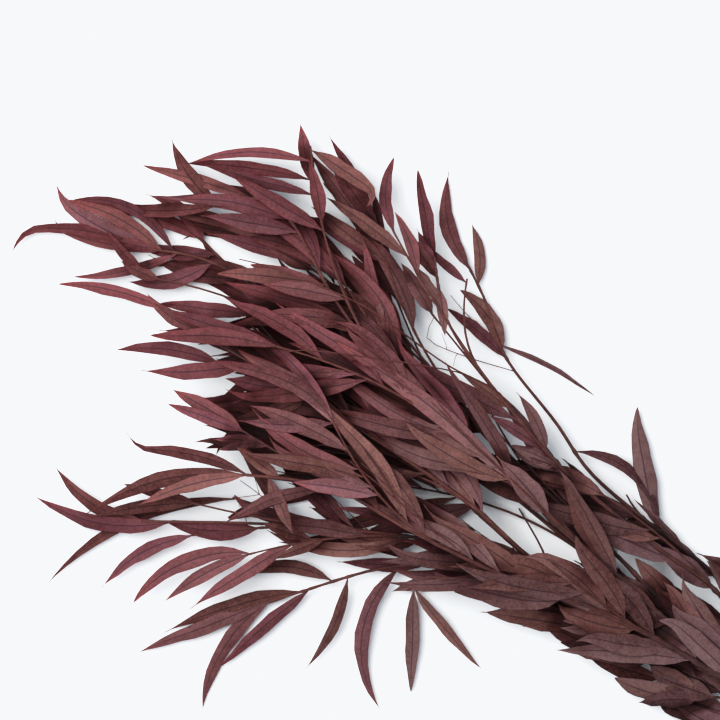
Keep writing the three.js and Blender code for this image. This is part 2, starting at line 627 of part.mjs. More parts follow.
// The twine: turns laid side by side round the stems, with a small knot on top.
function twine() {
  const slots = STEMS.map(({ slot: [row, place] }) => [
    place * ROW_STEP,
    TWINE + CLEARANCE + STEM_BASE / 2 + row * ROW_STEP,
  ]);
  const corners = 14;
  const around = (angle, away) => {
    const [c, s] = [Math.cos(angle), Math.sin(angle)];
    const outer = slots.reduce((best, p) => (p[0] * c + p[1] * s > best[0] * c + best[1] * s + 1e-6 ? p : best));
    return [outer[0] + c * (STEM_BASE / 2 + away), outer[1] + s * (STEM_BASE / 2 + away)];
  };
  const profile = []; // along the bunch, and outwards from the stems
  const half = (TWINE_TURNS * TWINE) / 2;
  profile.push([half - 0.4, CLEARANCE], [-half + 0.4, CLEARANCE]);
  for (let turn = 0; turn < TWINE_TURNS; turn++) {
    const middle = -half + TWINE * (turn + 0.5);
    for (const angle of [-70, 0, 70])
      profile.push([
        middle + (TWINE / 2) * Math.sin(radians(angle)),
        CLEARANCE + (TWINE / 2) * (1 + Math.cos(radians(angle))),
      ]);
  }
  const count = profile.length;
  const points = [];
  const faces = [];
  for (let i = 0; i < corners; i++) {
    const angle = (2 * Math.PI * (i + 0.5)) / corners;
    for (const [along, away] of profile) {
      const [across, up] = around(angle, away);
      points.push(...onPlan(along, across), up);
    }
    const [near, far] = [i * count, ((i + 1) % corners) * count];
    for (let j = 0; j < count; j++) {
      const next = (j + 1) % count;
      faces.push(near + j, far + j, far + next, near + j, far + next, near + next);
    }
  }
  const geometry = new THREE.BufferGeometry();
  geometry.setAttribute("position", new THREE.Float32BufferAttribute(points, 3));
  geometry.setIndex(faces);
  return solidFrom(geometry);
}

const bunch = new THREE.Group();
function addPiece(name, solid, colour, roughness) {
  const { vertProperties, triVerts } = solid.getMesh();
  const geometry = new THREE.BufferGeometry();
  geometry.setAttribute("position", new THREE.BufferAttribute(vertProperties, 3));
  geometry.setIndex(new THREE.BufferAttribute(triVerts, 1));
  geometry.computeVertexNormals();
  const material = new THREE.MeshStandardMaterial({ color: colour, roughness, metalness: 0 });
  const mesh = new THREE.Mesh(geometry, material);
  mesh.name = name;
  bunch.add(mesh);
}

stems.forEach((stem, index) => {
  addPiece(`leafy_stem_${index + 1}`, leafyStem(stem), LEAF_RED, 0.75);
});
addPiece("twine_tie", twine(), TWINE_TAN, 0.95);

// Turn the bunch along +X and put the middle of its underside at the origin.
bunch.rotation.z = -radians(LENGTHWISE);
bunch.updateMatrixWorld(true);
const box = new THREE.Box3().setFromObject(bunch, true);
bunch.position.set(-(box.min.x + box.max.x) / 2, -(box.min.y + box.max.y) / 2, -box.min.z);

export default bunch;
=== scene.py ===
from math import asin, atan2, ceil, cos, degrees, floor, pi, radians, sin, tan
from random import Random

import bmesh
import bpy
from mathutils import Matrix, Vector
from mathutils.kdtree import KDTree


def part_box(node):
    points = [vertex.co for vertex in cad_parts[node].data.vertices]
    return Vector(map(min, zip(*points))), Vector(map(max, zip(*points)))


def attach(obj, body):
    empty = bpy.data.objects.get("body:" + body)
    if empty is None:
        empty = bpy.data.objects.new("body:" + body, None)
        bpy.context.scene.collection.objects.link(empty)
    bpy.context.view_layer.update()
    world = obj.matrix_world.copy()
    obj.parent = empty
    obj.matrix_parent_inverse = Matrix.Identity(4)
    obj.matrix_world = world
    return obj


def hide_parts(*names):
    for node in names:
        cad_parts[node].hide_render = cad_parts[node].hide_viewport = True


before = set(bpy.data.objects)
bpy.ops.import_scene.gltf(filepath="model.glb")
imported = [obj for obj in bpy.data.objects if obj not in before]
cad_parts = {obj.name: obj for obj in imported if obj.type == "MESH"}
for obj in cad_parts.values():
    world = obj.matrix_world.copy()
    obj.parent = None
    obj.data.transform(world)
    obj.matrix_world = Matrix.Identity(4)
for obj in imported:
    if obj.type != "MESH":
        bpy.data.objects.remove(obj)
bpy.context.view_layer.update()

# ==== The leafy stems ===============================================================================
# Eleven cut branches of willow eucalyptus, preserved and dyed wine red. Each is one grown piece: a thin
# woody axis, its side twigs, and long sickle-shaped leaves, dry and matt, creased along the midrib.
# They lie over each other in a loose heap that fans out from the twine round their cut ends.

# ---- How the stems lie, on a plan of the table in mm from the twine: u to the right and v away.
MM = 0.001
LENGTHWISE = 150  # degrees on the plan, from +u: the way the bunch points
CUT_END = 68  # from the twine back to the cut ends
HEAP_LOW = 54  # height of the heap just past the twine
HEAP_HIGH = 92  # height of the heap in the middle of the foliage
HEAP_RIM = 0.27  # share of that height left at the sides
HEAP_END = 0.3  # share of that height left at the tips
TWINE = 2.2
STEM_BASE = 4.6  # diameters, at its foot and at its tip
STEM_TIP = 1.8
TWIG_BASE = 2.2
TWIG_TIP = 1.3
CLEARANCE = 0.4  # between stems that lie side by side
ROW_STEP = STEM_BASE + CLEARANCE
BOUND = 22  # the stems run straight this far past the twine
SPREAD = 112  # and have their full spread from here on

# Each stem from the lowest to the highest: its row and place inside the twine, how far from the twine
# its own leaves start and end, the heading of the last of them, its route, and its twigs, (distance
# from the twine, u, v, heading of the last leaf, if it has any of those). Then come the leaves that are
# seen one by one at the outside of the bunch, from where each grows to its tip: (u, v, u, v, turn along
# the blade and extra turn at the tip in degrees, width).
STEMS = [
    dict(
        slot=(0, 0), leafy=(125, 420), lean=165,
        route=[(-90, 55), (-200, 135), (-310, 225), (-395, 292), (-440, 322)],
        twigs=[
            (190, -280, 250, 118), (290, -352, 338, 122), (250, -378, 196, 190), (370, -425, 255, 184),
        ],
        leaves=[(-372, 290, -428, 318, 10, 0, 12)],
    ),
    dict(
        slot=(0, 1), leafy=(0, 0), lean=218,
        route=[
            (-90, 44), (-141, 72), (-212, 103), (-270, 127), (-320, 134), (-367, 130), (-424, 113),
            (-450, 105),
        ],
        twigs=[(185, -206, 92, 178), (300, -343, 114)],
        leaves=[
            (-402, 128, -474, 124, 55, 0, 10), (-424, 120, -529, 81, 20, 0, 12),
            (-443, 108, -548, 66, 10, 0, 11), (-450, 104, -498, 22, 60, 0, 11),
            (-417, 114, -485, 56, 0, 0, 9.5), (-386, 122, -422, 52, -30, 0, 8),
            (-348, 114, -340, 36, 5, 0, 10.5), (-338, 112, -286, 54, 20, 0, 8),
            (-346, 127, -363, 22, 85, 0, 11), (-300, 128, -355, 113, 10, 0, 11),
            (-326, 141, -397, 136, 0, 0, 10),
        ],
    ),
    dict(
        slot=(0, -1), leafy=(0, 0), lean=102,
        route=[
            (-70, 70), (-106, 122), (-146, 154), (-202, 201), (-231, 242), (-262, 281), (-275, 305),
            (-283, 332), (-297, 361),
        ],
        twigs=[(190, -151, 160), (232, -177, 187, 150)],
        leaves=[
            (-297, 361, -311, 435, -45, 0, 11), (-282, 348, -294, 393, 25, 0, 8.5),
            (-274, 293, -303, 342, 50, 0, 12), (-274, 284, -313, 328, 10, 0, 9),
            (-218, 220, -151, 152, -90, 0, 9), (-150, 160, -168, 253, -30, 0, 15),
            (-126, 146, -172, 184, 0, 0, 5), (-272, 302, -200, 261, -12, 0, 4.5),
            (-167, 168, -250, 189, 10, 0, 16), (-128, 140, -195, 170, 0, 0, 17),
        ],
    ),
    dict(
        slot=(1, 2), leafy=(92, 230), lean=176,
        route=[(-92, 32), (-140, 54), (-185, 78), (-215, 92)],
        twigs=[
            (58, -90, 6, 168), (72, -104, 18, 172), (92, -128, 32, 170), (122, -154, 46, 166),
            (150, -180, 64, 172),
        ],
        leaves=[
            (-203, 77, -283, 98, 0, 0, 14), (-128, 28, -160, 58, 0, 0, 17),
            (-109, 19, -153, 37, 0, 0, 18), (-128, 15, -169, 30, 0, 0, 15),
            (-160, 52, -228, 76, 10, 0, 14), (-150, 38, -213, 69, 0, 0, 14),
            (-112, 24, -160, 52, 0, 0, 16), (-100, 45, -165, 62, 0, 0, 14),
        ],
    ),
    dict(
        slot=(1, 1), leafy=(130, 430), lean=158,
        route=[(-97, 48), (-200, 110), (-300, 148), (-400, 162), (-470, 166), (-544, 167)],
        twigs=[(360, -465, 142), (390, -475, 185), (420, -507, 182), (430, -507, 156)],
        leaves=[
            (-544, 167, -611, 209, -45, 0, 10), (-518, 169, -627, 186, -40, 0, 12),
            (-475, 185, -618, 117, 50, 0, 8.5), (-504, 179, -584, 169, 20, 0, 10),
            (-507, 190, -557, 195, 10, 0, 8), (-506, 156, -577, 114, 35, 0, 10),
            (-464, 145, -550, 105, 65, 0, 12), (-463, 140, -527, 106, 20, 0, 10),
            (-428, 154, -508, 100, 15, 0, 11), (-454, 158, -529, 167, -25, 0, 13),
            (-450, 180, -479, 169, 0, 0, 8), (-373, 148, -451, 166, 0, 0, 12),
            (-380, 165, -418, 178, 0, 0, 9), (-415, 155, -452, 166, 0, 0, 9),
            (-405, 150, -445, 138, 15, 0, 8),
        ],
    ),
    dict(
        slot=(1, 0), leafy=(130, 440), lean=178,
        route=[
            (-90, 54), (-180, 102), (-240, 132), (-288, 172), (-345, 228), (-410, 296), (-462, 346),
            (-500, 366), (-540, 373),
        ],
        twigs=[(330, -400, 270, 165), (470, -502, 382), (500, -544, 352)],
        leaves=[
            (-537, 371, -643, 371, 25, 60, 9), (-540, 366, -611, 400, -30, -50, 7),
            (-529, 377, -609, 423, -35, -30, 13), (-527, 377, -602, 410, 30, 0, 11),
            (-518, 363, -596, 352, -30, 0, 8), (-544, 350, -570, 386, -20, 0, 8),
            (-489, 365, -555, 348, -40, 0, 12), (-486, 371, -548, 375, -5, 0, 11),
            (-495, 379, -543, 415, 55, 0, 11), (-456, 361, -540, 369, -35, 0, 11),
            (-517, 377, -599, 410, 70, 0, 8), (-529, 377, -573, 381, 0, 0, 9),
            (-530, 352, -560, 364, -20, 0, 9), (-435, 320, -472, 313, 0, 0, 7),
            (-403, 280, -474, 279, 0, 0, 11), (-400, 290, -462, 310, 0, 0, 12),
            (-508, 379, -562, 402, 45, 0, 11),
        ],
    ),
    dict(
        slot=(1, -1), leafy=(125, 400), lean=150,
        route=[(-90, 60), (-142, 98), (-190, 146), (-250, 200), (-318, 274), (-362, 326), (-384, 352)],
        twigs=[(240, -300, 262, 124), (400, -435, 372, 168), (395, -368, 399)],
        leaves=[
            (-368, 399, -404, 462, 0, 0, 8), (-98, 79, -138, 113, 0, 0, 14),
            (-330, 314, -375, 382, 45, 0, 13), (-368, 360, -416, 405, 10, 0, 12),
            (-368, 390, -402, 440, 10, 0, 12), (-426, 357, -495, 384, 20, 0, 12),
            (-415, 352, -454, 380, 0, 0, 11), (-386, 354, -454, 392, 15, 0, 13),
            (-368, 352, -435, 390, 10, 0, 13), (-371, 375, -418, 446, 10, 0, 12),
            (-350, 318, -385, 368, 10, 0, 12), (-345, 308, -372, 352, 0, 0, 11),
            (-300, 262, -274, 222, 20, 0, 12), (-167, 137, -123, 66, 10, 0, 15),
            (-368, 357, -420, 398, 10, 0, 11), (-362, 335, -408, 372, 0, 0, 11),
            (-290, 232, -345, 272, 0, 0, 14), (-296, 222, -320, 262, 0, 0, 12),
            (-130, 92, -172, 140, 0, 0, 16),
        ],
    ),
    dict(
        slot=(1, -2), leafy=(0, 0), lean=106,
        route=[(-72, 68), (-114, 118), (-156, 148), (-225, 205), (-279, 268), (-313, 318), (-323, 366)],
        twigs=[(150, -200, 190, 148), (350, -330, 330), (375, -355, 388), (400, -298, 350)],
        leaves=[
            (-355, 390, -353, 443, -40, 0, 9), (-323, 367, -335, 433, -10, 0, 10),
            (-332, 354, -353, 401, 20, 0, 9), (-322, 356, -336, 388, 0, 0, 8),
            (-298, 350, -335, 379, 0, 0, 7), (-322, 345, -315, 306, 0, 0, 8),
            (-110, 118, -160, 152, 0, 0, 16), (-322, 350, -345, 385, 10, 0, 9),
            (-312, 330, -340, 362, 0, 0, 8), (-336, 368, -405, 412, 10, 0, 10),
            (-258, 243, -375, 297, 0, 0, 15), (-225, 206, -266, 225, 10, 0, 12),
            (-232, 200, -264, 219, 10, 0, 11), (-80, 78, -127, 145, 70, 0, 18),
            (-92, 95, -118, 138, 35, 0, 15), (-237, 223, -262, 265, 35, 0, 9),
            (-242, 222, -283, 248, 0, 0, 9), (-259, 256, -307, 281, 10, 0, 9),
            (-146, 130, -215, 171, -5, 0, 17), (-322, 322, -348, 362, 10, 0, 11),
        ],
    ),
    dict(
        slot=(2, 0), leafy=(130, 440), lean=176,
        route=[(-92, 50), (-185, 104), (-245, 136), (-300, 184), (-380, 238), (-440, 275), (-488, 287)],
        twigs=[
            (210, -300, 152, 172), (330, -410, 222, 172), (390, -452, 306), (400, -462, 325),
            (430, -501, 310), (440, -527, 328),
        ],
        leaves=[
            (-527, 328, -607, 346, 30, 0, 9), (-461, 325, -530, 331, 15, 0, 11),
            (-501, 310, -539, 339, -45, 0, 9), (-445, 305, -532, 311, 5, 0, 11),
            (-488, 287, -564, 296, 30, 0, 11), (-460, 285, -544, 281, -20, 0, 12),
            (-424, 290, -496, 284, 20, 0, 12), (-368, 240, -476, 257, 30, 0, 13),
            (-433, 259, -480, 275, 0, 0, 12), (-420, 255, -480, 243, -10, 0, 12),
        ],
    ),
    dict(
        slot=(2, -1), leafy=(120, 440), lean=155,
        route=[
            (-90, 55), (-142, 88), (-192, 132), (-260, 192), (-340, 262), (-395, 330), (-430, 392),
            (-458, 410), (-490, 404),
        ],
        twigs=[
            (250, -330, 262, 142), (330, -392, 348, 146), (390, -445, 300, 176), (420, -416, 428),
            (440, -416, 450),
        ],
        leaves=[
            (-490, 404, -521, 457, -45, 0, 12), (-460, 413, -543, 436, 10, -5, 9),
            (-426, 427, -509, 437, 20, 0, 9), (-413, 438, -508, 437, 30, 0, 8),
            (-448, 397, -536, 411, 15, 0, 10), (-416, 420, -424, 468, 0, 0, 10),
            (-417, 448, -374, 404, -15, -95, 11), (-234, 176, -278, 218, 0, 0, 16),
            (-426, 410, -499, 436, 10, 0, 9), (-400, 386, -477, 428, 10, 0, 12),
            (-433, 380, -499, 397, 15, 0, 13), (-412, 340, -486, 353, 20, 0, 12),
            (-400, 340, -461, 360, 10, 0, 12), (-385, 316, -452, 323, 15, 0, 12),
            (-263, 200, -398, 304, 5, 0, 13), (-440, 388, -518, 410, 15, 0, 12),
            (-392, 395, -418, 441, 10, 0, 10), (-154, 100, -199, 135, -10, 0, 12),
            (-392, 332, -452, 345, 10, 0, 12),
        ],
    ),
    dict(
        slot=(2, 1), leafy=(110, 380), lean=176,
        route=[(-95, 45), (-190, 98), (-270, 128), (-340, 162), (-400, 195), (-466, 204)],
        twigs=[(180, -240, 142, 158), (250, -330, 128, 186), (350, -400, 246, 168), (390, -469, 238)],
        leaves=[
            (-469, 236, -519, 267, 5, 0, 13), (-461, 240, -522, 256, 0, 0, 9),
            (-445, 230, -489, 230, 10, 0, 9), (-454, 223, -483, 222, 10, 0, 8),
            (-437, 206, -470, 224, 0, 0, 9), (-466, 203, -554, 237, 35, -70, 9),
            (-467, 204, -590, 170, 35, 0, 12), (-157, 84, -225, 138, 40, 0, 15),
            (-193, 99, -278, 128, 25, 0, 15), (-221, 120, -302, 120, 10, 0, 13),
            (-386, 203, -459, 254, -50, 0, 13), (-383, 225, -461, 255, 25, 0, 12),
            (-364, 188, -430, 199, 0, 0, 12), (-400, 245, -470, 244, -10, 0, 11),
            (-405, 190, -478, 169, 15, 0, 9), (-448, 200, -428, 160, 10, 0, 10),
            (-128, 66, -234, 73, 5, 0, 15), (-466, 203, -545, 180, 20, 0, 10),
        ],
    ),
]

# Open places in the foliage and just outside it, (u, v, radius), which the drawn leaves keep clear of.
OPEN = [
    (-262, 166, 14), (-243, 163, 12), (-284, 225, 8), (-268, 237, 10), (-320, 315, 10), (-295, 283, 12),
    (-232, 222, 9), (-190, 200, 12), (-245, 75, 10), (-265, 85, 9), (-215, 58, 9), (-205, 45, 11),
    (-188, 30, 11), (-320, 106, 12), (-300, 106, 9), (-375, 124, 6), (-400, 117, 6), (-463, 194, 6),
    (-430, 181, 6), (-480, 272, 8), (-482, 214, 7), (-262, 300, 9), (-248, 278, 8), (-124, 118, 8),
    (-115, 108, 8), (-340, 300, 5), (-138, 174, 12), (-305, 262, 5), (-462, 366, 5),
]

# Bare shoots, too thin for the CAD: the stem each grows from, counted from 0, the share of the leaves'
# height at which it runs, its width, and its route from the root.
SHOOTS = [
    (7, 1, 1.5, [(-262, 252), (-280, 268), (-312, 284), (-347, 309), (-380, 331), (-440, 356), (-469, 364)]),
    (7, 1, 1.1, [(-300, 279), (-340, 286), (-380, 292), (-420, 296), (-436, 294)]),
    (7, 0.6, 0.9, [(-322, 331), (-336, 345), (-352, 361), (-364, 373)]),
    (2, 0.2, 0.9, [(-262, 281), (-275, 284), (-303, 293), (-326, 303), (-327, 312), (-322, 322)]),
    (2, 0.2, 0.6, [(-303, 293), (-308, 290), (-308, 284)]),
    (2, 0.2, 0.6, [(-312, 298), (-313, 303), (-317, 309)]),
    (2, 0.25, 0.8, [(-275, 305), (-285, 311), (-300, 326), (-310, 338)]),
    (10, 1, 2.2, [(-120, 60), (-141, 71), (-165, 84), (-200, 101), (-225, 114), (-252, 123)]),
    (10, 1, 1.5, [(-300, 144), (-320, 160), (-345, 180), (-365, 197), (-386, 214)]),
    (10, 1, 1.2, [(-318, 155), (-340, 179), (-362, 199), (-378, 213)]),
    (5, 0.5, 2, [(-236, 130), (-239, 140), (-246, 155), (-258, 176)]),
    (8, 0.4, 1, [(-262, 146), (-275, 150), (-295, 163), (-306, 172)]),
    (9, 1, 1, [(-262, 195), (-283, 203), (-300, 207), (-318, 210)]),
    (4, 0.7, 1, [(-372, 158), (-378, 165), (-390, 177), (-400, 187), (-413, 191)]),
    (4, 0.7, 0.9, [(-425, 161), (-440, 175), (-453, 188), (-468, 199)]),
    (4, 0.7, 0.6, [(-453, 188), (-470, 186), (-482, 184)]),
    (4, 0.7, 0.6, [(-453, 188), (-455, 193), (-457, 200)]),
    (4, 0.5, 0.6, [(-461, 165), (-465, 172), (-470, 180)]),
]


def mix(a, b, t):
    return a + (b - a) * t


def smooth(low, high, x):
    t = min(1, max(0, (x - low) / (high - low)))
    return t * t * (3 - 2 * t)


def ahead(heading):
    """One step on the plan in the direction of a heading in degrees."""
    return Vector((cos(radians(heading)), sin(radians(heading))))


def finder(points):
    """A tree of flat points, which finds those that lie near another."""
    points = list(points)
    tree = KDTree(len(points))
    for i, point in enumerate(points):
        tree.insert((point.x, point.y, 0), i)
    tree.balance()
    return tree


LENGTH = ahead(LENGTHWISE)
ACROSS = ahead(LENGTHWISE + 90)


class Line:
    """A line of points, with the distance to each along it."""

    def __init__(self, points):
        self.points = points
        self.reach = [0]
        for a, b in zip(points, points[1:]):
            self.reach.append(self.reach[-1] + (b - a).length)
        self.length = self.reach[-1]

    def span(self, distance):
        i = 1
        while i < len(self.reach) - 1 and self.reach[i] < distance:
            i += 1
        return i, (distance - self.reach[i - 1]) / (self.reach[i] - self.reach[i - 1])

    def at(self, distance):
        i, t = self.span(distance)
        return self.points[i - 1].lerp(self.points[i], t)

    def heading(self, distance):
        i, _ = self.span(distance)
        step = self.points[i] - self.points[i - 1]
        return degrees(atan2(step.y, step.x))


MARK_PITCH = 12  # between the points that an axis is found by


class Axis(Line):
    """A stem's woody axis, or one of its twigs, which starts some way along it."""

    def __init__(self, points, stem, lean, start=0):
        super().__init__(points)
        self.stem = stem
        self.lean = lean
        self.start = start
        count = ceil(self.length / MARK_PITCH)
        self.marks = finder(self.at(self.length * i / count) for i in range(count + 1))
        self.knots = []

    def inside(self, distance):
        """The point on the centre line in space, once the axis is laid in the heap."""
        i = 1
        while i < len(self.knots) - 1 and self.knots[i][0] < distance:
            i += 1
        (a, start), (b, end) = self.knots[i - 1], self.knots[i]
        return start.lerp(end, (distance - a) / (b - a))


def curve_through(points):
    """A smooth line that passes through each of the points."""
    spans = 10
    line = []
    for i in range(len(points) - 1):
        a = points[max(0, i - 1)]
        b = points[i]
        c = points[i + 1]
        d = points[min(len(points) - 1, i + 2)]
        for step in range(1 if i else 0, spans + 1):
            t = step / spans
            bend = 2 * a - 5 * b + 4 * c - d + t * (3 * (b - c) + d - a)
            line.append(b + 0.5 * t * (c - a + t * bend))
    return line


FLARE = 1.5  # how much wider than in the twine the cut ends lie
TWIG_PULL = 0.45  # of a twig's length, for which it keeps to the way that its stem runs


def twig_curve(main, distance, tip):
    """A twig leaves its stem the way the stem runs, and curves over to its own tip."""
    root = main.at(distance)
    pull = root + ahead(main.heading(distance)) * TWIG_PULL * (tip - root).length
    steps = 12
    shares = [i / steps for i in range(steps + 1)]
    return [(1 - t) ** 2 * root + 2 * t * (1 - t) * pull + t * t * tip for t in shares]


class Stem:
    """A leafy stem: its axis, its twigs, and the order in which they lie over each other."""

    def __init__(self, index, slot, leafy, lean, route, twigs, leaves):
        row, place = slot
        across = ACROSS * place * ROW_STEP
        bound = [LENGTH * -CUT_END + across * FLARE, LENGTH * -BOUND + across, LENGTH * BOUND + across]
        self.leafy = leafy
        self.leaves = leaves
        self.height = TWINE + CLEARANCE + STEM_BASE / 2 + row * ROW_STEP
        self.slot = Vector((place * ROW_STEP, self.height))
        self.main = Axis(curve_through(bound + [Vector(point) for point in route]), index, lean)
        self.twigs = []
        for distance, u, v, *heading in twigs:
            curve = twig_curve(self.main, CUT_END + distance, Vector((u, v)))
            self.twigs.append(Axis(curve, index, heading[0] if heading else None, CUT_END + distance))
        self.layers = self.twigs[1::2] + [self.main] + self.twigs[0::2]
        self.shoots = []


stems = [Stem(index, **row) for index, row in enumerate(STEMS)]

# ---- How they share the heap: each stem has a layer of its own there, and each of its twigs a part
# of that layer. What a stem or twig counts over a point falls off with its distance from there.
FLAT = 1.3  # what comes this near the table lies flat on it
LAYER_GAP = 0.35  # kept by each stem to the layers above and below
HEAP_RISES = (70, 380)  # from and to these distances along the bunch
HEAP_FALLS = (430, 760)
HEAP_HALF = 62  # its half width where it starts to widen
HEAP_WIDENS = 0.42  # by this for each mm along, from HEAP_FROM and for HEAP_FOR
HEAP_FROM = 100
HEAP_FOR = 400
RIM_FALLS = (0.2, 1.15)  # shares of the half width
COUNT_SPAN = 18  # where what a stem counts has fallen to half
COUNT_WIDENS = 0.09  # by this for each mm along, for COUNT_FOR
COUNT_FOR = 450


def heap_height(point):
    along = point.dot(LENGTH)
    across = abs(point.dot(ACROSS))
    ridge = mix(HEAP_LOW, HEAP_HIGH, smooth(*HEAP_RISES, along))
    ridge *= mix(1, HEAP_END, smooth(*HEAP_FALLS, along))
    half = HEAP_HALF + HEAP_WIDENS * max(0, min(HEAP_FOR, along - HEAP_FROM))
    return ridge * mix(1, HEAP_RIM, smooth(*RIM_FALLS, across / half))


def counts_over(point):
    span = COUNT_SPAN + COUNT_WIDENS * max(0, min(COUNT_FOR, point.dot(LENGTH)))
    flat = point.to_3d()
    return [[1 / (1 + (axis.marks.find(flat)[2] / span) ** 2) for axis in stem.layers] for stem in stems]


class Layers:
    """The heap over one point of the plan."""

    def __init__(self, point):
        self.counts = counts_over(point)
        self.heap = heap_height(point)
        self.sums = [sum(counts) for counts in self.counts]

    def share(self, axis, own):
        """The share of the stem's layer, from 0 below to 1 above, that a twig's own part reaches."""
        counts = self.counts[axis.stem]
        place = stems[axis.stem].layers.index(axis)
        return (sum(counts[:place]) + own * counts[place]) / sum(counts)

    def height(self, stem, share, below, above):
        """The height at a share of a stem's layer, for a thing that reaches so far below and above."""
        total = sum(self.sums)
        under = sum(self.sums[:stem])
        low = self.heap * under / total + (LAYER_GAP if stem else 0)
        high = self.heap * (under + self.sums[stem]) / total - LAYER_GAP
        height = low + share * max(0, high - low - below - above)
        return below + (0 if height < FLAT else height)


def share_on(axis, distance, layers):
    """The share at which a stem or twig runs. A twig starts inside its stem."""
    own = layers.share(axis, 0.5)
    if not axis.start:
        return own
    stem_share = layers.share(stems[axis.stem].main, 0.5)
    return mix(stem_share, own, smooth(0, 0.7, distance / axis.length))


def lie(axis, distance, half):
    """The height at which a stem or twig lies, some way along it."""
    layers = Layers(axis.at(distance))
    return layers.height(axis.stem, share_on(axis, distance, layers), half, half)


# ---- The wood: round tapering axes, a little thicker at each leaf, with pale cut ends.
STEM_SIDES = 10
TWIG_SIDES = 7
SHOOT_SIDES = 5
BEND_PITCH = 9
NODE_SWELLING = 0.35  # of the width, where a leaf grows
NODE_REACH = 3
BARK, LEAF, CUT_WOOD = range(3)  # the piece's materials

twine_low, twine_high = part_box("twine_tie")
TWINE_AT = (Vector(twine_low) + Vector(twine_high)).to_2d() / 2


def in_frame(point):
    """A plan point with its height, turned to lie along +X and moved to where the CAD has it."""
    flat = point.to_2d()
    return Vector((flat.dot(LENGTH) * MM + TWINE_AT.x, flat.dot(ACROSS) * MM + TWINE_AT.y, point.z * MM))


def rolled(bm, rows, columns, place, material=0):
    """A grid rolled round and closed, with place(row, column) for each of its points, in mm."""
    old = set(bm.faces)
    grid = bmesh.ops.create_grid(bm, x_segments=rows - 1, y_segments=columns, size=1, calc_uvs=True)
    for vert in grid["verts"]:
        row = round((vert.co.x + 1) / 2 * (rows - 1))
        column = round((vert.co.y + 1) / 2 * columns) % columns
        vert.co = in_frame(place(row, column))
    bmesh.ops.remove_doubles(bm, verts=grid["verts"], dist=1e-6)
    faces = [face for face in bm.faces if face not in old]
    for face in faces:
        face.material_index = material
    return faces


def evenly(start, end, pitch):
    count = ceil((end - start) / pitch)
    return [mix(start, end, i / count) for i in range(count + 1)]


def branch(bm, axis, base, tip, sides, leaves, material):
    """A tapered round branch along an axis, closed at both ends and swollen where a leaf grows."""
    nodes = [leaf.distance for leaf in leaves if leaf.axis is axis]
    bends = evenly(0, axis.length, BEND_PITCH) + nodes + [node + NODE_REACH for node in nodes]
    rows = [0]
    for distance in sorted(bends):
        if rows[-1] + NODE_REACH / 2 < distance < axis.length - NODE_REACH / 2:
            rows.append(distance)
    rows.append(axis.length)
    rings = []
    for distance in rows:
        before = axis.inside(max(0, distance - NODE_REACH))
        after = axis.inside(min(axis.length, distance + NODE_REACH))
        run = (after - before).normalized()
        side = Vector((-run.y, run.x, 0)).normalized()
        nearness = max([smooth(NODE_REACH, 0, abs(distance - node)) for node in nodes], default=0)
        width = mix(base, tip, distance / axis.length) * (1 + NODE_SWELLING * nearness)
        centre = axis.inside(distance)
        centre.z = max(centre.z, width / 2)
        rings.append((centre, side * width / 2, run.cross(side) * width / 2))
    centres = [rings[0], *rings, rings[-1]]

    def place(row, column):
        centre, side, up = centres[row]
        if row in (0, len(centres) - 1):
            return centre
        turn = -2 * pi * column / sides
        return centre + side * cos(turn) + up * sin(turn)

    return rolled(bm, len(centres), sides, place, material)


# ---- The leaves: alternate, smaller and slimmer towards the tips, and combed over towards the
# heading of their twig. Those on one side rise through its layer and those on the other sink.
MAIN_STEP = 50  # between leaves along a stem
TWIG_STEP = 36  # and along a twig
LEAF_LENGTHS = (66, 108)  # near the twine and further out
LENGTHENS = (90, 340)  # from and to these distances from it
LEAF_WIDTHS = (17, 11.5)
NARROWS = (150, 430)
LENGTH_SHARES = (0.82, 1.15)  # of these, as no two leaves are alike
WIDTH_SHARES = (0.82, 1.1)
LEAF_OUT = (22, 44)  # degrees off its stem at which a leaf starts
LEAF_BACK = (4, 16)  # and at which it ends
LEAF_STRAY = (-9, 9)
LEAF_ROLLS = {1: (-34, 22), 0: (-20, 20), -1: (-22, 34)}  # on the left, at the end and on the right
PETIOLE = 0.06  # shares of a leaf's length: its stalk, and where it is widest
WIDEST = 0.42
SLIMNESS = 1.7  # over 1 draws the blade in towards both ends
STALK_WIDTH = 1.2
LEAF_ROOM = 0.7  # kept for a leaf's thickness in its layer
LEAF_THICKNESS = 0.4
BLADE_SIDES = 4  # a blade's section: its midrib above and below, and its two edges
FULLER = 1.07  # times their width, as they curl over and their drawn-out tips are thin
FOLDS = (5, 17)  # degrees at the crease, mostly upwards
WAVES = (2, 3.4)  # along each edge
WAVE_HEIGHTS = (0.25, 0.8)
WAVE_WIDTH = 0.14  # share by which a wave widens the blade
ARCH = 2.2  # at most, low in the heap
WHISKERS = (0, 0.04, 0.09)  # share of the length that is a drawn-out tip
HOOKS = (6, 10, 14, 34)  # degrees by which the tip turns to one side
SWAY = 7  # and by which the blade swings from side to side, where it is drawn
SET_SWAY = 5  # and where it is set one by one
SET_LIFT = (0.2, 1)  # share of its layer to which such a leaf rises
SET_ROLL = (-22, 22)
LEAF_ROWS = [0, 0.03, 0.07, 0.13, 0.21, 0.3, 0.4, 0.5, 0.6, 0.7, 0.79, 0.87, 0.93, 0.97, 1]
SCORCHED_TIPS = [(-199, 135), (-138, 114), (-278, 218)]  # the few that have gone brown
SCORCH_REACH = 8
TABLE_GAP = 0.02  # under what lies lowest
FIRST_LEAF = 12  # from the root of a twig, where leaves are set one by one
BARE_TIP = 4  # of each stem and twig, where they are drawn
BARE_FOOT = 20  # of a twig, or a quarter of it


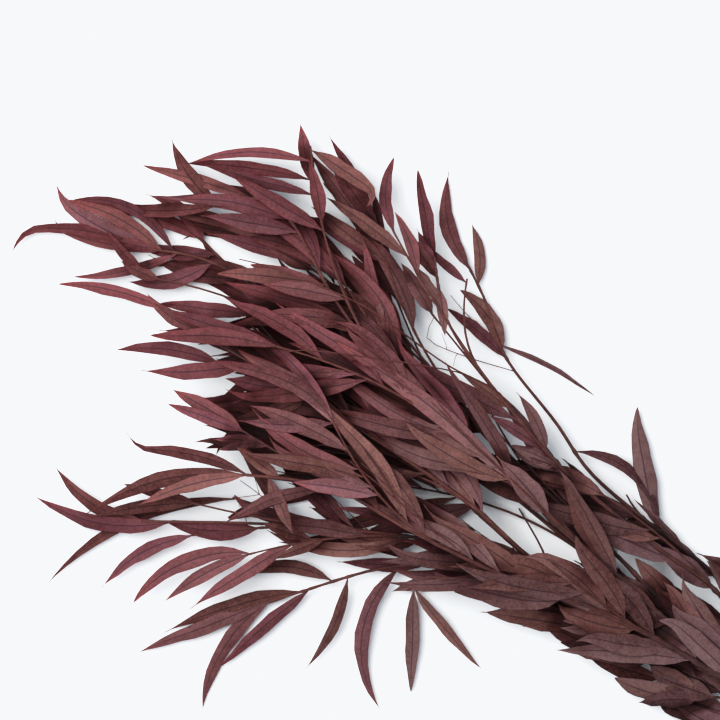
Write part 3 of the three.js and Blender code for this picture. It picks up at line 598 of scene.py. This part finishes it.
class Growth:
    """The seeded draw by which the leaves of the CAD grow, so that these grow in the same places."""

    def __init__(self, state):
        self.state = state

    def draw(self, low, high):
        self.state = (self.state * 1664525 + 1013904223) % 4294967296
        return low + (high - low) * self.state / 4294967296


whim = Random(5)  # for what the CAD leaves out


def evened(levels):
    """The levels, each drawn a little towards its neighbours."""
    ends = [levels[0], *levels, levels[-1]]
    return [(low + 2 * middle + high) / 4 for low, middle, high in zip(ends, ends[1:], ends[2:])]


class Leaf:
    """One leaf: where it sits, the way it runs, and how its blade is shaped."""

    def __init__(self, axis, distance, course, length, width, lift, roll, sway, hook):
        self.axis = axis
        self.distance = distance
        self.root = axis.inside(distance)
        self.share = share_on(axis, distance, Layers(axis.at(distance)))
        self.course = course
        self.length = length
        self.width = width
        self.lift = lift
        self.roll = roll
        self.sway = sway
        self.hook = hook
        self.fold = whim.uniform(*FOLDS) * whim.choice((-1, 1, 1))
        self.waves = []
        for _ in range(2):
            self.waves.append((whim.uniform(*WAVES), whim.uniform(0, 2 * pi), whim.uniform(*WAVE_HEIGHTS)))
        self.arch = whim.uniform(0, ARCH)
        self.dye = whim.random()
        self.whisker = whim.choice(WHISKERS)
        self.droop = 0

    def heading(self, s):
        return self.course(s) + self.sway * sin(2 * pi * s) + self.hook * smooth(0.72, 1, s)

    def path(self):
        return leaf_path(self.root.to_2d(), self.heading, self.length)

    def half_width(self, s):
        x = max(0, (s - PETIOLE) / (1 - PETIOLE - self.whisker))
        if x < 1:
            body = ((x / WIDEST) ** WIDEST * ((1 - x) / (1 - WIDEST)) ** (1 - WIDEST)) ** SLIMNESS
        else:
            body = 0
        slim = mix(STALK_WIDTH / self.width, 0.05, smooth(0.1, 1, s))
        return self.width * FULLER / 2 * (slim + (1 - slim) * body)

    def share_at(self, s, layers):
        goal = layers.share(self.axis, mix(0.5, self.lift, s))
        return mix(self.share, goal, smooth(0, 0.5, s))

    def rings(self):
        """For each row of the blade its middle, the way to its left, and half its width."""
        line = Line(self.path())
        stem = self.axis.stem
        rows = []
        for s in LEAF_ROWS:
            centre = line.at(s * line.length)
            left = ahead(self.heading(s) + 90)
            half = self.half_width(s)
            layers = Layers(centre)
            room = layers.height(stem, 1, 0, LEAF_ROOM) - layers.height(stem, 0, 0, LEAF_ROOM)
            middle = self.share_at(s, layers)
            rise = half * sin(radians(self.roll) * smooth(0.05, 0.5, s)) / max(room, 0.1)
            limit = min(middle, 1 - middle)
            tilt = max(-limit, min(limit, rise))
            edges = []
            for hand in (1, -1):
                edge = Layers(centre + left * hand * half)
                edges.append(edge.height(stem, middle + hand * tilt, 0, LEAF_ROOM))
            rows.append((centre, left, half, sum(edges) / 2, (edges[0] - edges[1]) / 2))
        heights = [self.root.z] + [row[3] for row in rows[1:]]
        # The root stays where it is, and the tip is eased too, towards its own height past the end.
        for _ in range(2):
            heights = [heights[0], *evened(heights)[1:], heights[-1]]
        rings = []
        for (centre, left, half, _, tilt), height, s in zip(rows, heights, LEAF_ROWS):
            height += self.arch * sin(pi * s) ** 2 * smooth(HEAP_HIGH, HEAP_HIGH / 2, height)
            height -= self.droop * self.length * smooth(0.1, 1.1, s)
            slope = asin(max(-0.9, min(0.9, tilt / half)))
            middle = Vector((centre.x, centre.y, max(height, 0.6 + abs(tilt))))
            side = Vector((left.x * cos(slope), left.y * cos(slope), sin(slope)))
            rings.append((middle, side, half))
        return rings

    def grow(self, bm):
        dye = bm.verts.layers.float["dye"]
        scorch = bm.verts.layers.float["scorch"]
        rings = self.blade
        tip = rings[-1][0].to_2d()
        scorched = any((tip - Vector(spot)).length < SCORCH_REACH for spot in SCORCHED_TIPS)
        crease = tan(radians(self.fold))
        last = len(rings) - 1

        def place(row, column):
            middle, side, half = rings[row]
            if row in (0, last):
                return middle
            before, after = rings[row - 1][0], rings[row + 1][0]
            up = (after - before).cross(side).normalized()
            s = LEAF_ROWS[row]
            body = smooth(0.05, 0.3, s) * smooth(1, 0.85, s)
            depth = half * crease * body
            if column % 2:
                hand = 1 if column == 1 else -1
                thickness = LEAF_THICKNESS * mix(0.6, 1, body) * smooth(1.02, 0.8, s)
                point = middle + up * (hand * thickness / 2 - depth / 2)
            else:
                hand = 1 if column == 2 else -1
                pitch, start, height = self.waves[column // 2]
                wave = height * sin(2 * pi * pitch * s + start) * body
                point = middle + side * hand * half * (1 + WAVE_WIDTH * wave) + up * (depth / 2 + wave)
            return Vector((point.x, point.y, max(point.z, TABLE_GAP + 0.1 * (column == 1))))

        for face in rolled(bm, len(rings), BLADE_SIDES, place, LEAF):
            for vert in face.verts:
                vert[dye] = self.dye
                vert[scorch] = scorched


def leaf_path(root, heading, length):
    """The line of a leaf's midrib on the plan."""
    steps = 20
    points = [root]
    for i in range(steps):
        points.append(points[-1] + ahead(heading((i + 0.5) / steps)) * length / steps)
    return points


def leaves_on(axis, first, last, step, growth, stray=0):
    """The leaves that are drawn on one axis, alternately to its left and right."""
    if last <= first or axis.lean is None:
        return []
    leaves = []
    rolls = {side: growth.draw(*ends) for side, ends in LEAF_ROLLS.items()}
    count = floor((last - first) / step + 0.2)
    for i in range(count + 1):
        distance = mix(first, last, i / count) if count else last
        root = axis.at(distance)
        heading = axis.heading(distance)
        side = 0 if i == count else (1 if i % 2 else -1)
        combed = smooth(-0.2 if axis.start else 0.3, 0.8, distance / axis.length)
        turn = (axis.lean - heading + 540) % 360 - 180
        start = heading + (side * growth.draw(*LEAF_OUT) if count else 0.7 * turn)
        end = heading + turn * combed + side * growth.draw(*LEAF_BACK) + growth.draw(*LEAF_STRAY)
        length = mix(*LEAF_LENGTHS, smooth(*LENGTHENS, root.length)) * growth.draw(*LENGTH_SHARES)
        length = length * (1 if side else 0.95)
        width = mix(*LEAF_WIDTHS, smooth(*NARROWS, root.length)) * growth.draw(*WIDTH_SHARES)
        lift = 0.5 + side * 0.5 * growth.draw(0.75, 1)
        roll = rolls[side] + growth.draw(-6, 6)
        end += whim.uniform(-stray, stray)

        def course(s, start=start, end=end):
            return mix(start, end, 1 - (1 - s) ** 2)

        path = leaf_path(root, course, length)
        if not any((point - Vector((u, v))).length < radius for u, v, radius in OPEN for point in path):
            hook = whim.choice((-1, 1)) * whim.choice(HOOKS)
            sway = whim.uniform(-SWAY, SWAY)
            leaves.append(Leaf(axis, distance, course, length, width, lift, roll, sway, hook))
    return leaves


def leaf_to(stem, growth, from_u, from_v, to_u, to_v, turn, hook, width):
    """A leaf from the nearest point of its stem, or of one of the stem's twigs, to a tip that is given."""
    root = Vector((from_u, from_v))
    places = []
    for axis in [stem.main, *stem.twigs]:
        distance = FIRST_LEAF if axis.start else CUT_END + BOUND
        while distance <= axis.length - NODE_REACH:
            places.append((axis, distance))
            distance += NODE_REACH
    axis, distance = min(places, key=lambda place: (place[0].at(place[1]) - root).length)

    def bend(s):
        return turn * s + hook * smooth(0.7, 1, s)

    chord = Vector((to_u, to_v)) - axis.at(distance)
    unit = leaf_path(Vector((0, 0)), bend, 1)[-1]
    start = degrees(atan2(chord.y, chord.x) - atan2(unit.y, unit.x))
    length = chord.length / unit.length
    lift = growth.draw(*SET_LIFT)
    roll = growth.draw(*SET_ROLL)
    sway = whim.uniform(-SET_SWAY, SET_SWAY)
    return Leaf(axis, distance, lambda s: start + bend(s), length, width, lift, roll, sway, 0)


# ---- The finishes.
class Thread:
    """A value running through a material's nodes. Sums on it add Math nodes."""

    def __init__(self, tree, socket=None):
        self.tree = tree
        self.socket = socket

    def node(self, kind, settings=None, sockets=None, output=0):
        """Add a node with its settings, then the values or links of its sockets."""
        node = self.tree.nodes.new(kind)
        for name, value in (settings or {}).items():
            setattr(node, name, value)
        for name, value in (sockets or {}).items():
            if isinstance(value, Thread):
                self.tree.links.new(value.socket, node.inputs[name])
            else:
                node.inputs[name].default_value = value
        return Thread(self.tree, node.outputs[output])

    def math(self, operation, *others):
        return self.node("ShaderNodeMath", {"operation": operation}, dict(enumerate([self, *others])))

    def __add__(self, other):
        return self.math("ADD", other)

    __radd__ = __add__

    def __mul__(self, other):
        return self.math("MULTIPLY", other)

    __rmul__ = __mul__

    def __sub__(self, other):
        return self.math("SUBTRACT", other)

    def __rsub__(self, other):
        return self * -1 + other

    def ramp(self, low, high):
        """From 0 to 1, softly, between two values."""
        settings = {"interpolation_type": "SMOOTHSTEP"}
        return self.node("ShaderNodeMapRange", settings, {"Value": self, "From Min": low, "From Max": high})

    def tint(self, a, b):
        """Colour a where this is 0 and b where it is 1."""
        settings = {"data_type": "RGBA"}
        return self.node("ShaderNodeMix", settings, {0: self, 6: paint(a), 7: paint(b)}, 2)

    def shade(self, colour, depth=1):
        """A colour made darker or lighter by this, and redder where it is dark if its depth is over 1."""
        deep = self.math("POWER", depth)
        scale = self.node("ShaderNodeCombineXYZ", sockets={0: self, 1: deep, 2: deep})
        return self.node("ShaderNodeVectorMath", {"operation": "MULTIPLY"}, {0: colour, 1: scale})


def paint(colour):
    return colour if isinstance(colour, Thread) else (*colour, 1)


def finish(name):
    """A new material: its shader and a thread to work on its nodes with."""
    material = bpy.data.materials.new(name)
    material.use_nodes = True
    return material, material.node_tree.nodes["Principled BSDF"], Thread(material.node_tree)


def connect(shader, **threads):
    for name, thread in threads.items():
        shader.id_data.links.new(thread.socket, shader.inputs[name.replace("_", " ")])


def attribute(thread, name):
    """A value that each point of the piece carries."""
    return thread.node("ShaderNodeAttribute", {"attribute_name": name}, output=2)


def noise(thread, coordinates, scale, detail):
    """Spots from 0 to 1, so many to the metre where the coordinates are metres."""
    sockets = {"Vector": coordinates, "Scale": scale, "Detail": detail}
    return thread.node("ShaderNodeTexNoise", {"noise_dimensions": "3D"}, sockets)


def bump(thread, relief, strength, distance):
    sockets = {"Strength": strength, "Distance": distance, "Height": relief}
    return thread.node("ShaderNodeBump", sockets=sockets)


WINE = (0.105, 0.028, 0.031)
BROWN_MAUVE = (0.092, 0.0445, 0.0435)
EDGE_RED = (0.13, 0.02, 0.02)
PALE_MAUVE = (0.115, 0.055, 0.06)
PLUM = (0.062, 0.025, 0.034)
RUST = (0.12, 0.042, 0.031)
MIDRIB = (0.018, 0.007, 0.012)
SCORCHED = (0.3, 0.14, 0.05)
PAINTED_SHADE_STRENGTH = 0.82  # share of the brightness taken off by the painted shade under other leaves
DEPTH = 1.4  # the power that darkens green and blue, so that dark leaf and bark are redder
LEAF_GLOSS = 0.08
VEINS = 46  # pairs to a leaf
VEIN_SLANT = 5
MOTTLE = 110  # spots to the metre
SPECKLE = 420
GRAIN = 1500

leaf_finish, leaf_shader, leaf = finish("dried_leaf")
leaf_shader.inputs["Specular IOR Level"].default_value = LEAF_GLOSS
place = leaf.node("ShaderNodeTexCoord", output=3)
along_bunch = leaf.node("ShaderNodeSeparateXYZ", sockets={0: place})
blade = leaf.node("ShaderNodeUVMap", {"uv_map": "UVMap"})
along = leaf.node("ShaderNodeSeparateXYZ", sockets={0: blade})
around = leaf.node("ShaderNodeSeparateXYZ", sockets={0: blade}, output=1)
dye = attribute(leaf, "dye")
scorch = attribute(leaf, "scorch")
painted_shade = attribute(leaf, "painted_shade")
# Two more values from 0 to 1 for each leaf.
hue = (dye * 7.31).math("FRACT")
half = (dye * 3.77).math("FRACT")
# From the midrib to the edge, and whether it is the upper side.
across = (around * BLADE_SIDES).math("PINGPONG", 2) - 1
side = across.math("ABSOLUTE")
top = around.math("LESS_THAN", 0.5)
mottle = noise(leaf, place, MOTTLE, 4)
grain = noise(leaf, place, GRAIN, 3)
speckle = noise(leaf, place, SPECKLE, 3)
veins = ((along * VEINS - side * VEIN_SLANT) * 2 * pi).math("SINE") * 0.5 + 0.5
outer = (along_bunch + (hue - 0.5) * 0.35 + (mottle - 0.5) * 0.1).ramp(-0.1, 0.3)
rim = side.ramp(0.7, 1)
tip = along.ramp(0.6, 1)
# The leaves at the tips of the bunch are redder, and some leaves are more plum or rust than others.
colour = outer.tint(BROWN_MAUVE, WINE)
colour = (hue.ramp(0.55, 0.8) * 0.35).tint(colour, PLUM)
colour = (hue.ramp(0.35, 0.1) * (1 - outer * 0.5) * 0.5).tint(colour, RUST)
# Their undersides are paler, their edges and tips redder, and their midribs and outlines dark.
colour = ((1 - top) * 0.6 + half.ramp(0.85, 1) * 0.5).math("MINIMUM", 0.9).tint(colour, PALE_MAUVE)
colour = ((rim * 0.45 + tip * 0.6) * outer).math("MINIMUM", 0.8).tint(colour, EDGE_RED)
midrib = (1 - side.ramp(0.03, 0.12)) * (1 - tip * 0.5) * (0.25 + speckle * 0.9)
colour = midrib.math("MINIMUM", 0.8).tint(colour, MIDRIB)
colour = (side.ramp(0.9, 1) * 0.5).tint(colour, MIDRIB)
colour = (along.ramp(0.95, 1) * 0.7).tint(colour, MIDRIB)
colour = (along.ramp(0.94, 0.98) * scorch).tint(colour, SCORCHED)
# One half of a blade is painted lighter than the other, as light on its fold, and no two leaves are as
# bright.
painted_half_light = (across * (half - 0.5)).ramp(-0.12, 0.12) * 0.2 - 0.1
tone = 0.56 + dye * 0.7 + outer * 0.16 + (1 - outer) * half.ramp(0.5, 1) * 0.45 + painted_half_light
tone = tone + (mottle - 0.5) * 0.7 + (veins - 0.5) * 0.14
# Painted shade: the tone is darkened where other leaves lie over the blade.
tone = (tone + (grain - 0.5) * 1.3 + (speckle - 0.5) * 0.9).math("MAXIMUM", 0.1) * (1 - painted_shade * PAINTED_SHADE_STRENGTH)
connect(leaf_shader, Base_Color=tone.shade(colour, DEPTH), Roughness=0.55 + mottle * 0.25)
relief = grain * 0.12 + veins * 0.1 + side.ramp(0, 0.12) * 0.6 + mottle * 0.3
connect(leaf_shader, Normal=bump(leaf, relief, 0.5, 0.0005))

BARK_BROWN = (0.036, 0.013, 0.011)
BARK_RED = (0.09, 0.024, 0.019)
BARK_GLOSS = 0.2
BLOTCHES = 90  # to the metre
FIBRES = 1500
FIBRE_STRETCH = (0.12, 1, 1)  # they run along the bunch
bark_finish, bark_shader, bark = finish("dyed_bark")
bark_shader.inputs["Specular IOR Level"].default_value = BARK_GLOSS
place = bark.node("ShaderNodeTexCoord", output=3)
lengthwise = bark.node("ShaderNodeVectorMath", {"operation": "MULTIPLY"}, {0: place, 1: FIBRE_STRETCH})
blotch = noise(bark, place, BLOTCHES, 3)
fibre = noise(bark, lengthwise, FIBRES, 4)
painted_shade = attribute(bark, "painted_shade")
# The young wood further out has a redder bark.
along_bunch = bark.node("ShaderNodeSeparateXYZ", sockets={0: place})
young = (along_bunch + (blotch - 0.5) * 0.3).ramp(-0.3, 0.15)
colour = young.tint(BARK_BROWN, BARK_RED)
# Painted shade: the bark's tone is darkened where leaves lie over it.
tone = (0.85 + (fibre - 0.5) * 2.2 + (blotch - 0.5) * 0.9).math("MAXIMUM", 0.1) * (1 - painted_shade * PAINTED_SHADE_STRENGTH)
connect(bark_shader, Base_Color=tone.shade(colour, DEPTH), Roughness=0.45 + fibre * 0.25)
connect(bark_shader, Normal=bump(bark, fibre, 0.8, 0.0004))

CUT_TAN = (0.42, 0.27, 0.16)
CUT_DARK = (0.2, 0.1, 0.06)
PORES = 1400  # to the metre
cut_finish, cut_shader, cut = finish("cut_wood")
place = cut.node("ShaderNodeTexCoord", output=3)
pores = noise(cut, place, PORES, 3)
connect(cut_shader, Base_Color=pores.tint(CUT_DARK, CUT_TAN), Roughness=0.65 + pores * 0.2)

# ---- The stems and twigs are laid in the heap, and their leaves grow.
drawn = Growth(24)
for stem in stems:
    main = stem.main
    for distance in evenly(0, main.length, BEND_PITCH):
        flat = main.at(distance)
        half = mix(STEM_BASE, STEM_TIP, distance / main.length) / 2
        spread = smooth(BOUND, SPREAD, distance - CUT_END)
        height = mix(stem.height, lie(main, distance, half), spread) if spread else stem.height
        main.knots.append((distance, Vector((flat.x, flat.y, height))))
    for twig in stem.twigs:
        root = main.inside(twig.start)
        drop = root.z - lie(twig, 0, TWIG_BASE / 2)
        for distance in evenly(0, twig.length, BEND_PITCH):
            flat = twig.at(distance)
            half = mix(TWIG_BASE, TWIG_TIP, distance / twig.length) / 2
            height = lie(twig, distance, half) + drop * smooth(1, 0, distance / twig.length)
            twig.knots.append((distance, Vector((flat.x, flat.y, height))))
    first, last = stem.leafy
    last = min(CUT_END + last, main.length - BARE_TIP)
    stem.grown = leaves_on(main, CUT_END + first, last, MAIN_STEP, drawn)
    for twig in stem.twigs:
        first = max(BARE_FOOT, 0.25 * twig.length)
        stem.grown += leaves_on(twig, first, twig.length - BARE_TIP, TWIG_STEP, drawn)
    stem.grown += [leaf_to(stem, drawn, *row) for row in stem.leaves]

# More leaves fill the heap where it is dense already, between those.
FILL = 3  # times over
DENSE = 15  # the reach in which more than CROWD points of the leaves' middle lines make it dense
CROWD = 14
FILL_FOOT = (100, 14)  # without such leaves on a stem past the twine, and on a twig
FILL_TIP = 8
STRAY = 30  # degrees either way
DROOP = 0.5  # of their length, at most
foliage = finder(point for stem in stems for leaf_on in stem.grown for point in leaf_on.path())


def crowded(point):
    return len(foliage.find_range(point.to_3d(), DENSE)) > CROWD


filling = Growth(77)
for _ in range(FILL):
    for stem in stems:
        for axis in [stem.main, *stem.twigs]:
            first = CUT_END + FILL_FOOT[0] if axis is stem.main else FILL_FOOT[1]
            first += filling.draw(0, MAIN_STEP)
            more = leaves_on(axis, first, axis.length - FILL_TIP, MAIN_STEP, filling, STRAY)
            for leaf_on in more:
                if all(crowded(point) for point in leaf_on.path()[5:]):
                    leaf_on.droop = whim.uniform(0, DROOP)
                    stem.grown.append(leaf_on)

# ---- Painted shade: what lies under other leaves is painted darker, as the shade there, and less
# so at the bottom of the heap, where fewer leaves lie under it.
COVER_REACH = 13
COVER_STEP = 2
FULL_OVER = 12  # points of leaves over a place that cover it in full
FULL_UNDER = 8  # and under it
LOWEST_COVER = 0.45  # of the full, for the lowest
for stem in stems:
    for leaf_on in stem.grown:
        leaf_on.blade = leaf_on.rings()
leafage = [in_frame(middle) for stem in stems for leaf_on in stem.grown for middle, _, _ in leaf_on.blade]
canopy = finder(leafage)


def painted_shade_at(point):
    near = [leafage[i].z for _, i, _ in canopy.find_range((point.x, point.y, 0), COVER_REACH * MM)]
    over = sum(height > point.z + COVER_STEP * MM for height in near)
    under = sum(height < point.z - COVER_STEP * MM for height in near)
    return smooth(0, FULL_OVER, over) * mix(LOWEST_COVER, 1, smooth(0, FULL_UNDER, under))


# ---- The bare shoots rise from their stems to a share of the height that the leaves have there.
RISE = 45  # along a shoot, before it has come up to that height
LEAF_REACH = 12  # in which the highest leaf counts
LEVELLING = 16  # passes in which its heights are evened
JOIN = 12  # from its root, over which it comes away from the stem
SHOOT_TAPER = 0.6


def leaf_height(point):
    spot = in_frame(point.to_3d())
    near = canopy.find_range((spot.x, spot.y, 0), LEAF_REACH * MM)
    return max((leafage[i].z / MM for _, i, _ in near), default=0)


for index, share, width, route in SHOOTS:
    stem = stems[index]
    shoot = Axis(curve_through([Vector(point) for point in route]), index, None)
    shoot.width = width
    knots = [knot for axis in [stem.main, *stem.twigs, *stem.shoots] for _, knot in axis.knots]
    root = min(knots, key=lambda knot: (knot.to_2d() - shoot.at(0)).length)
    reaches = evenly(0, shoot.length, BEND_PITCH / 2)
    route = [root.to_2d().lerp(shoot.at(reach), smooth(0, JOIN, reach)) for reach in reaches]
    levels = [leaf_height(point) * share + width for point in route]
    for _ in range(LEVELLING):
        levels = evened(levels)
    for reach, point, level in zip(reaches, route, levels):
        height = mix(root.z, level, smooth(0, RISE, reach))
        shoot.knots.append((reach, Vector((point.x, point.y, height))))
    stem.shoots.append(shoot)

# ---- Each stem is made and finished as one piece.
SHARP = radians(70)  # an edge that turns by more than this stays sharp
CUT_FACE = 2  # mm from the cut end, in which the pale wood shows


def finished(bm, name, finishes):
    """A smooth piece with this mesh and these materials."""
    for face in bm.faces:
        face.smooth = True
    for edge in bm.edges:
        edge.smooth = edge.calc_face_angle(0) < SHARP
    mesh = bpy.data.meshes.new(name)
    bm.to_mesh(mesh)
    bm.free()
    for material in finishes:
        mesh.materials.append(material)
    piece = bpy.data.objects.new(name, mesh)
    bpy.context.collection.objects.link(piece)
    return piece


for index, stem in enumerate(stems):
    bm = bmesh.new()
    bm.loops.layers.uv.new("UVMap")
    bm.verts.layers.float.new("dye")
    bm.verts.layers.float.new("scorch")
    painted_shade = bm.verts.layers.float.new("painted_shade")
    faces = branch(bm, stem.main, STEM_BASE, STEM_TIP, STEM_SIDES, stem.grown, BARK)
    cut_end = in_frame((LENGTH * (CUT_FACE - CUT_END)).to_3d()).x
    for face in faces:
        if all(vert.co.x < cut_end for vert in face.verts):
            face.material_index = CUT_WOOD
    for twig in stem.twigs:
        branch(bm, twig, TWIG_BASE, TWIG_TIP, TWIG_SIDES, stem.grown, BARK)
    for shoot in stem.shoots:
        branch(bm, shoot, shoot.width, SHOOT_TAPER * shoot.width, SHOOT_SIDES, [], BARK)
    for leaf_on in stem.grown:
        leaf_on.grow(bm)
    # A blade is thin, so its quads are split along the same diagonals above and below.
    map_layer = bm.loops.layers.uv["UVMap"]
    blades = {"FIXED": [], "ALTERNATE": []}
    for face in bm.faces:
        if face.material_index == LEAF:
            above = max(loop[map_layer].uv.y for loop in face.loops) < 0.51
            blades["FIXED" if above else "ALTERNATE"].append(face)
    for method, faces in blades.items():
        bmesh.ops.triangulate(bm, faces=faces, quad_method=method)
    # The painted shade at each point, from the leaves that lie over and under it.
    for vert in bm.verts:
        vert[painted_shade] = painted_shade_at(vert.co)
    piece = finished(bm, f"eucalyptus_{index + 1}", [bark_finish, leaf_finish, cut_finish])
    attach(piece, "root")
    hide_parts(f"leafy_stem_{index + 1}")

# ==== The twine =====================================================================================
# Natural jute twine of three twisted plies, wound five times round the stems near their cut ends and
# knotted on top. It holds the bunch together, pulled tight so that its turns lie side by side.
TWINE_TURNS = 5
TWINE_ROW = 0.55  # between the sections of the twine along its length
TWINE_COLUMNS = 15
PLY_LENGTH = 9  # in which the plies twist round once
PLIES = 3
PLY_GROOVE = 0.26
HULL_STEPS = 120  # round the stems
TURN_STEPS = 90  # to each turn of the twine
SLACK = 0.1  # twice the gap between it and the stems


def wound(bm, path, width):
    """A three-ply twine along a line of points, closed at both ends."""
    count = ceil(path.length / TWINE_ROW)
    rows = [path.at(path.length * i / count) for i in range(count + 1)]
    last = count + 2

    def place(row, column):
        centre = rows[max(0, min(count, row - 1))]
        if row in (0, last):
            return centre
        run = (rows[min(count, row)] - rows[max(0, row - 2)]).normalized()
        side = LENGTH.to_3d() - run * run.dot(LENGTH.to_3d())
        if side.length < 0.3:
            side = Vector((0, 0, 1)) - run * run.z
        side.normalize()
        turn = -2 * pi * column / TWINE_COLUMNS
        twist = 2 * pi * (row - 1) * TWINE_ROW / PLY_LENGTH
        groove = 1 - PLY_GROOVE * (1 - abs(sin(PLIES / 2 * turn + PLIES / 2 * twist)) ** 0.7)
        return centre + (side * cos(turn) + run.cross(side) * sin(turn)) * width / 2 * groove

    map_layer = bm.loops.layers.uv["UVMap"]
    for face in rolled(bm, count + 3, TWINE_COLUMNS, place):
        for loop in face.loops:
            loop[map_layer].uv.x *= path.length


hull = []
for step in range(HULL_STEPS + 1):
    reach = ahead(step * 360 / HULL_STEPS)
    outer = max((stem.slot for stem in stems), key=lambda slot: slot.dot(reach))
    hull.append(outer + reach * (STEM_BASE + TWINE + SLACK) / 2)
hull = Line(hull)
winding = []
for step in range(TWINE_TURNS * TURN_STEPS + 1):
    turns = step / TURN_STEPS
    flat = hull.at((turns + 0.25) % 1 * hull.length)
    along = (turns - TWINE_TURNS / 2) * TWINE
    winding.append((LENGTH * along + ACROSS * flat.x).to_3d() + Vector((0, 0, flat.y)))

# The knot, along the bunch, across it and up, from where one end leaves the turns to the other's tip.
KNOT = [
    (-21, 10, -5.5), (-14, 8, -1.5), (-8, 4.5, 0.9), (-3, 1.2, 1.9), (1.8, -2.4, 2.3), (4.6, 0.2, 1.6),
    (1.6, 3.1, 0.9), (-2.6, 0.6, 0.9), (-1.2, -3.2, 1.8), (2.8, -2.3, 3.7), (3.2, 2.2, 3.6), (8, 5.4, 1.3),
    (13, 8.5, -1.6), (17, 12, -5.5),
]
top = max(point.y for point in hull.points)
knot = [(LENGTH * along + ACROSS * across).to_3d() + Vector((0, 0, top + up)) for along, across, up in KNOT]

bm = bmesh.new()
bm.loops.layers.uv.new("UVMap")
wound(bm, Line(winding), TWINE)
wound(bm, Line(curve_through(knot)), TWINE)

JUTE = (0.3, 0.19, 0.095)
JUTE_PALE = (0.47, 0.33, 0.18)
JUTE_DARK = (0.1, 0.055, 0.025)
STRANDS = 70  # round the twine and along one twist
PATCHES = 260  # to the metre
twine_finish, twine_shader, twine = finish("jute")
place = twine.node("ShaderNodeTexCoord", output=3)
wrap = twine.node("ShaderNodeUVMap", {"uv_map": "UVMap"})
along = twine.node("ShaderNodeSeparateXYZ", sockets={0: wrap})
around = twine.node("ShaderNodeSeparateXYZ", sockets={0: wrap}, output=1)
# The plies turn as they do in the mesh, and the strands run along them.
lay = along * (1 / PLY_LENGTH) - around
ply = (lay * PLIES * pi).math("SINE").math("ABSOLUTE")
strands = twine.node("ShaderNodeCombineXYZ", sockets={0: lay * STRANDS, 1: along * 0.5})
fibres = noise(twine, strands, 1, 4)
patches = noise(twine, place, PATCHES, 2)
colour = (fibres + (patches - 0.5) * 0.5).ramp(0.35, 0.7).tint(JUTE, JUTE_PALE)
# Painted shade: the grooves between the plies are painted darker, as the shade in them.
colour = ((1 - ply.ramp(0, 0.55)) * 0.65).tint(colour, JUTE_DARK)
colour = (fibres.ramp(0.46, 0.3) * 0.6).tint(colour, JUTE_DARK)
relief = fibres * 0.6 + ply * 0.4
connect(twine_shader, Base_Color=(0.55 + fibres * 0.8).shade(colour), Roughness=0.8 + fibres * 0.15)
connect(twine_shader, Normal=bump(twine, relief, 0.8, 0.0004))
piece = finished(bm, "jute_twine", [twine_finish])
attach(piece, "root")
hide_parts("twine_tie")

# ==== The table, the light and the camera ===========================================================
# A plain white table, which is no part of the bunch, under one large soft lamp in a pale room. The
# camera looks straight down from high above.
TABLE_WHITE = (0.86, 0.875, 0.89)
TABLE_SIZE = 12
bpy.ops.mesh.primitive_plane_add(size=TABLE_SIZE, location=(0, 0, 0))
table = bpy.context.object
table.name = "table"
table_finish, table_shader, _ = finish("white_table")
table_shader.inputs["Base Color"].default_value = paint(TABLE_WHITE)
table_shader.inputs["Roughness"].default_value = 0.7
table.data.materials.append(table_finish)

ROOM_LIGHT = (0.88, 0.93, 1)
ROOM_STRENGTH = 0.75
world = bpy.data.worlds.new("room")
bpy.context.scene.world = world
world.use_nodes = True
room = world.node_tree.nodes["Background"]
room.inputs["Color"].default_value = paint(ROOM_LIGHT)
room.inputs["Strength"].default_value = ROOM_STRENGTH

# The view is straight down on the foliage, with the cut ends beyond its lower right corner.
VIEW_CENTRE = in_frame(Vector((-378.75, 288.75, 0)))
VIEW_WIDTH = 0.54  # at FOLIAGE_HEIGHT
VIEW_HEIGHT = 2.8
FOLIAGE_HEIGHT = 0.04
SENSOR = 36
camera_data = bpy.data.cameras.new("view")
camera_data.sensor_width = SENSOR
camera_data.lens = SENSOR * (VIEW_HEIGHT - FOLIAGE_HEIGHT) / VIEW_WIDTH
camera = bpy.data.objects.new("view", camera_data)
camera.location = (VIEW_CENTRE.x, VIEW_CENTRE.y, VIEW_HEIGHT)
camera.rotation_euler = (0, 0, radians(-LENGTHWISE))
bpy.context.collection.objects.link(camera)
bpy.context.scene.camera = camera

LAMP_SIZE = 1.5
LAMP_POWER = 64
LAMP_COLOUR = (1, 0.985, 0.97)
LAMP_AT = Vector((0.85, 0.1, 2.1))  # from the middle of the view
lamp_data = bpy.data.lights.new("softbox", "AREA")
lamp_data.shape = "DISK"
lamp_data.size = LAMP_SIZE
lamp_data.energy = LAMP_POWER
lamp_data.color = LAMP_COLOUR
lamp = bpy.data.objects.new("softbox", lamp_data)
lamp.location = VIEW_CENTRE + LAMP_AT
lamp.rotation_euler = (VIEW_CENTRE - lamp.location).to_track_quat("-Z", "Y").to_euler()
bpy.context.collection.objects.link(lamp)

# The film lifts the pale shadows and keeps the white table just under full white, slightly blue.
SHADOW_LIFT = [(0.2, 0.2), (0.45, 0.55), (0.7, 0.79)]
FILM_WHITE = (0.925, 0.94, 0.955)
film = bpy.context.scene.view_settings
film.view_transform = "Standard"
film.use_curve_mapping = True
for curve, white in zip(film.curve_mapping.curves, FILM_WHITE):
    for position, level in SHADOW_LIFT:
        curve.points.new(position, level)
    curve.points[-1].location = (1, white)
    for point in curve.points:
        point.handle_type = "VECTOR"
film.curve_mapping.extend = "HORIZONTAL"
film.curve_mapping.update()
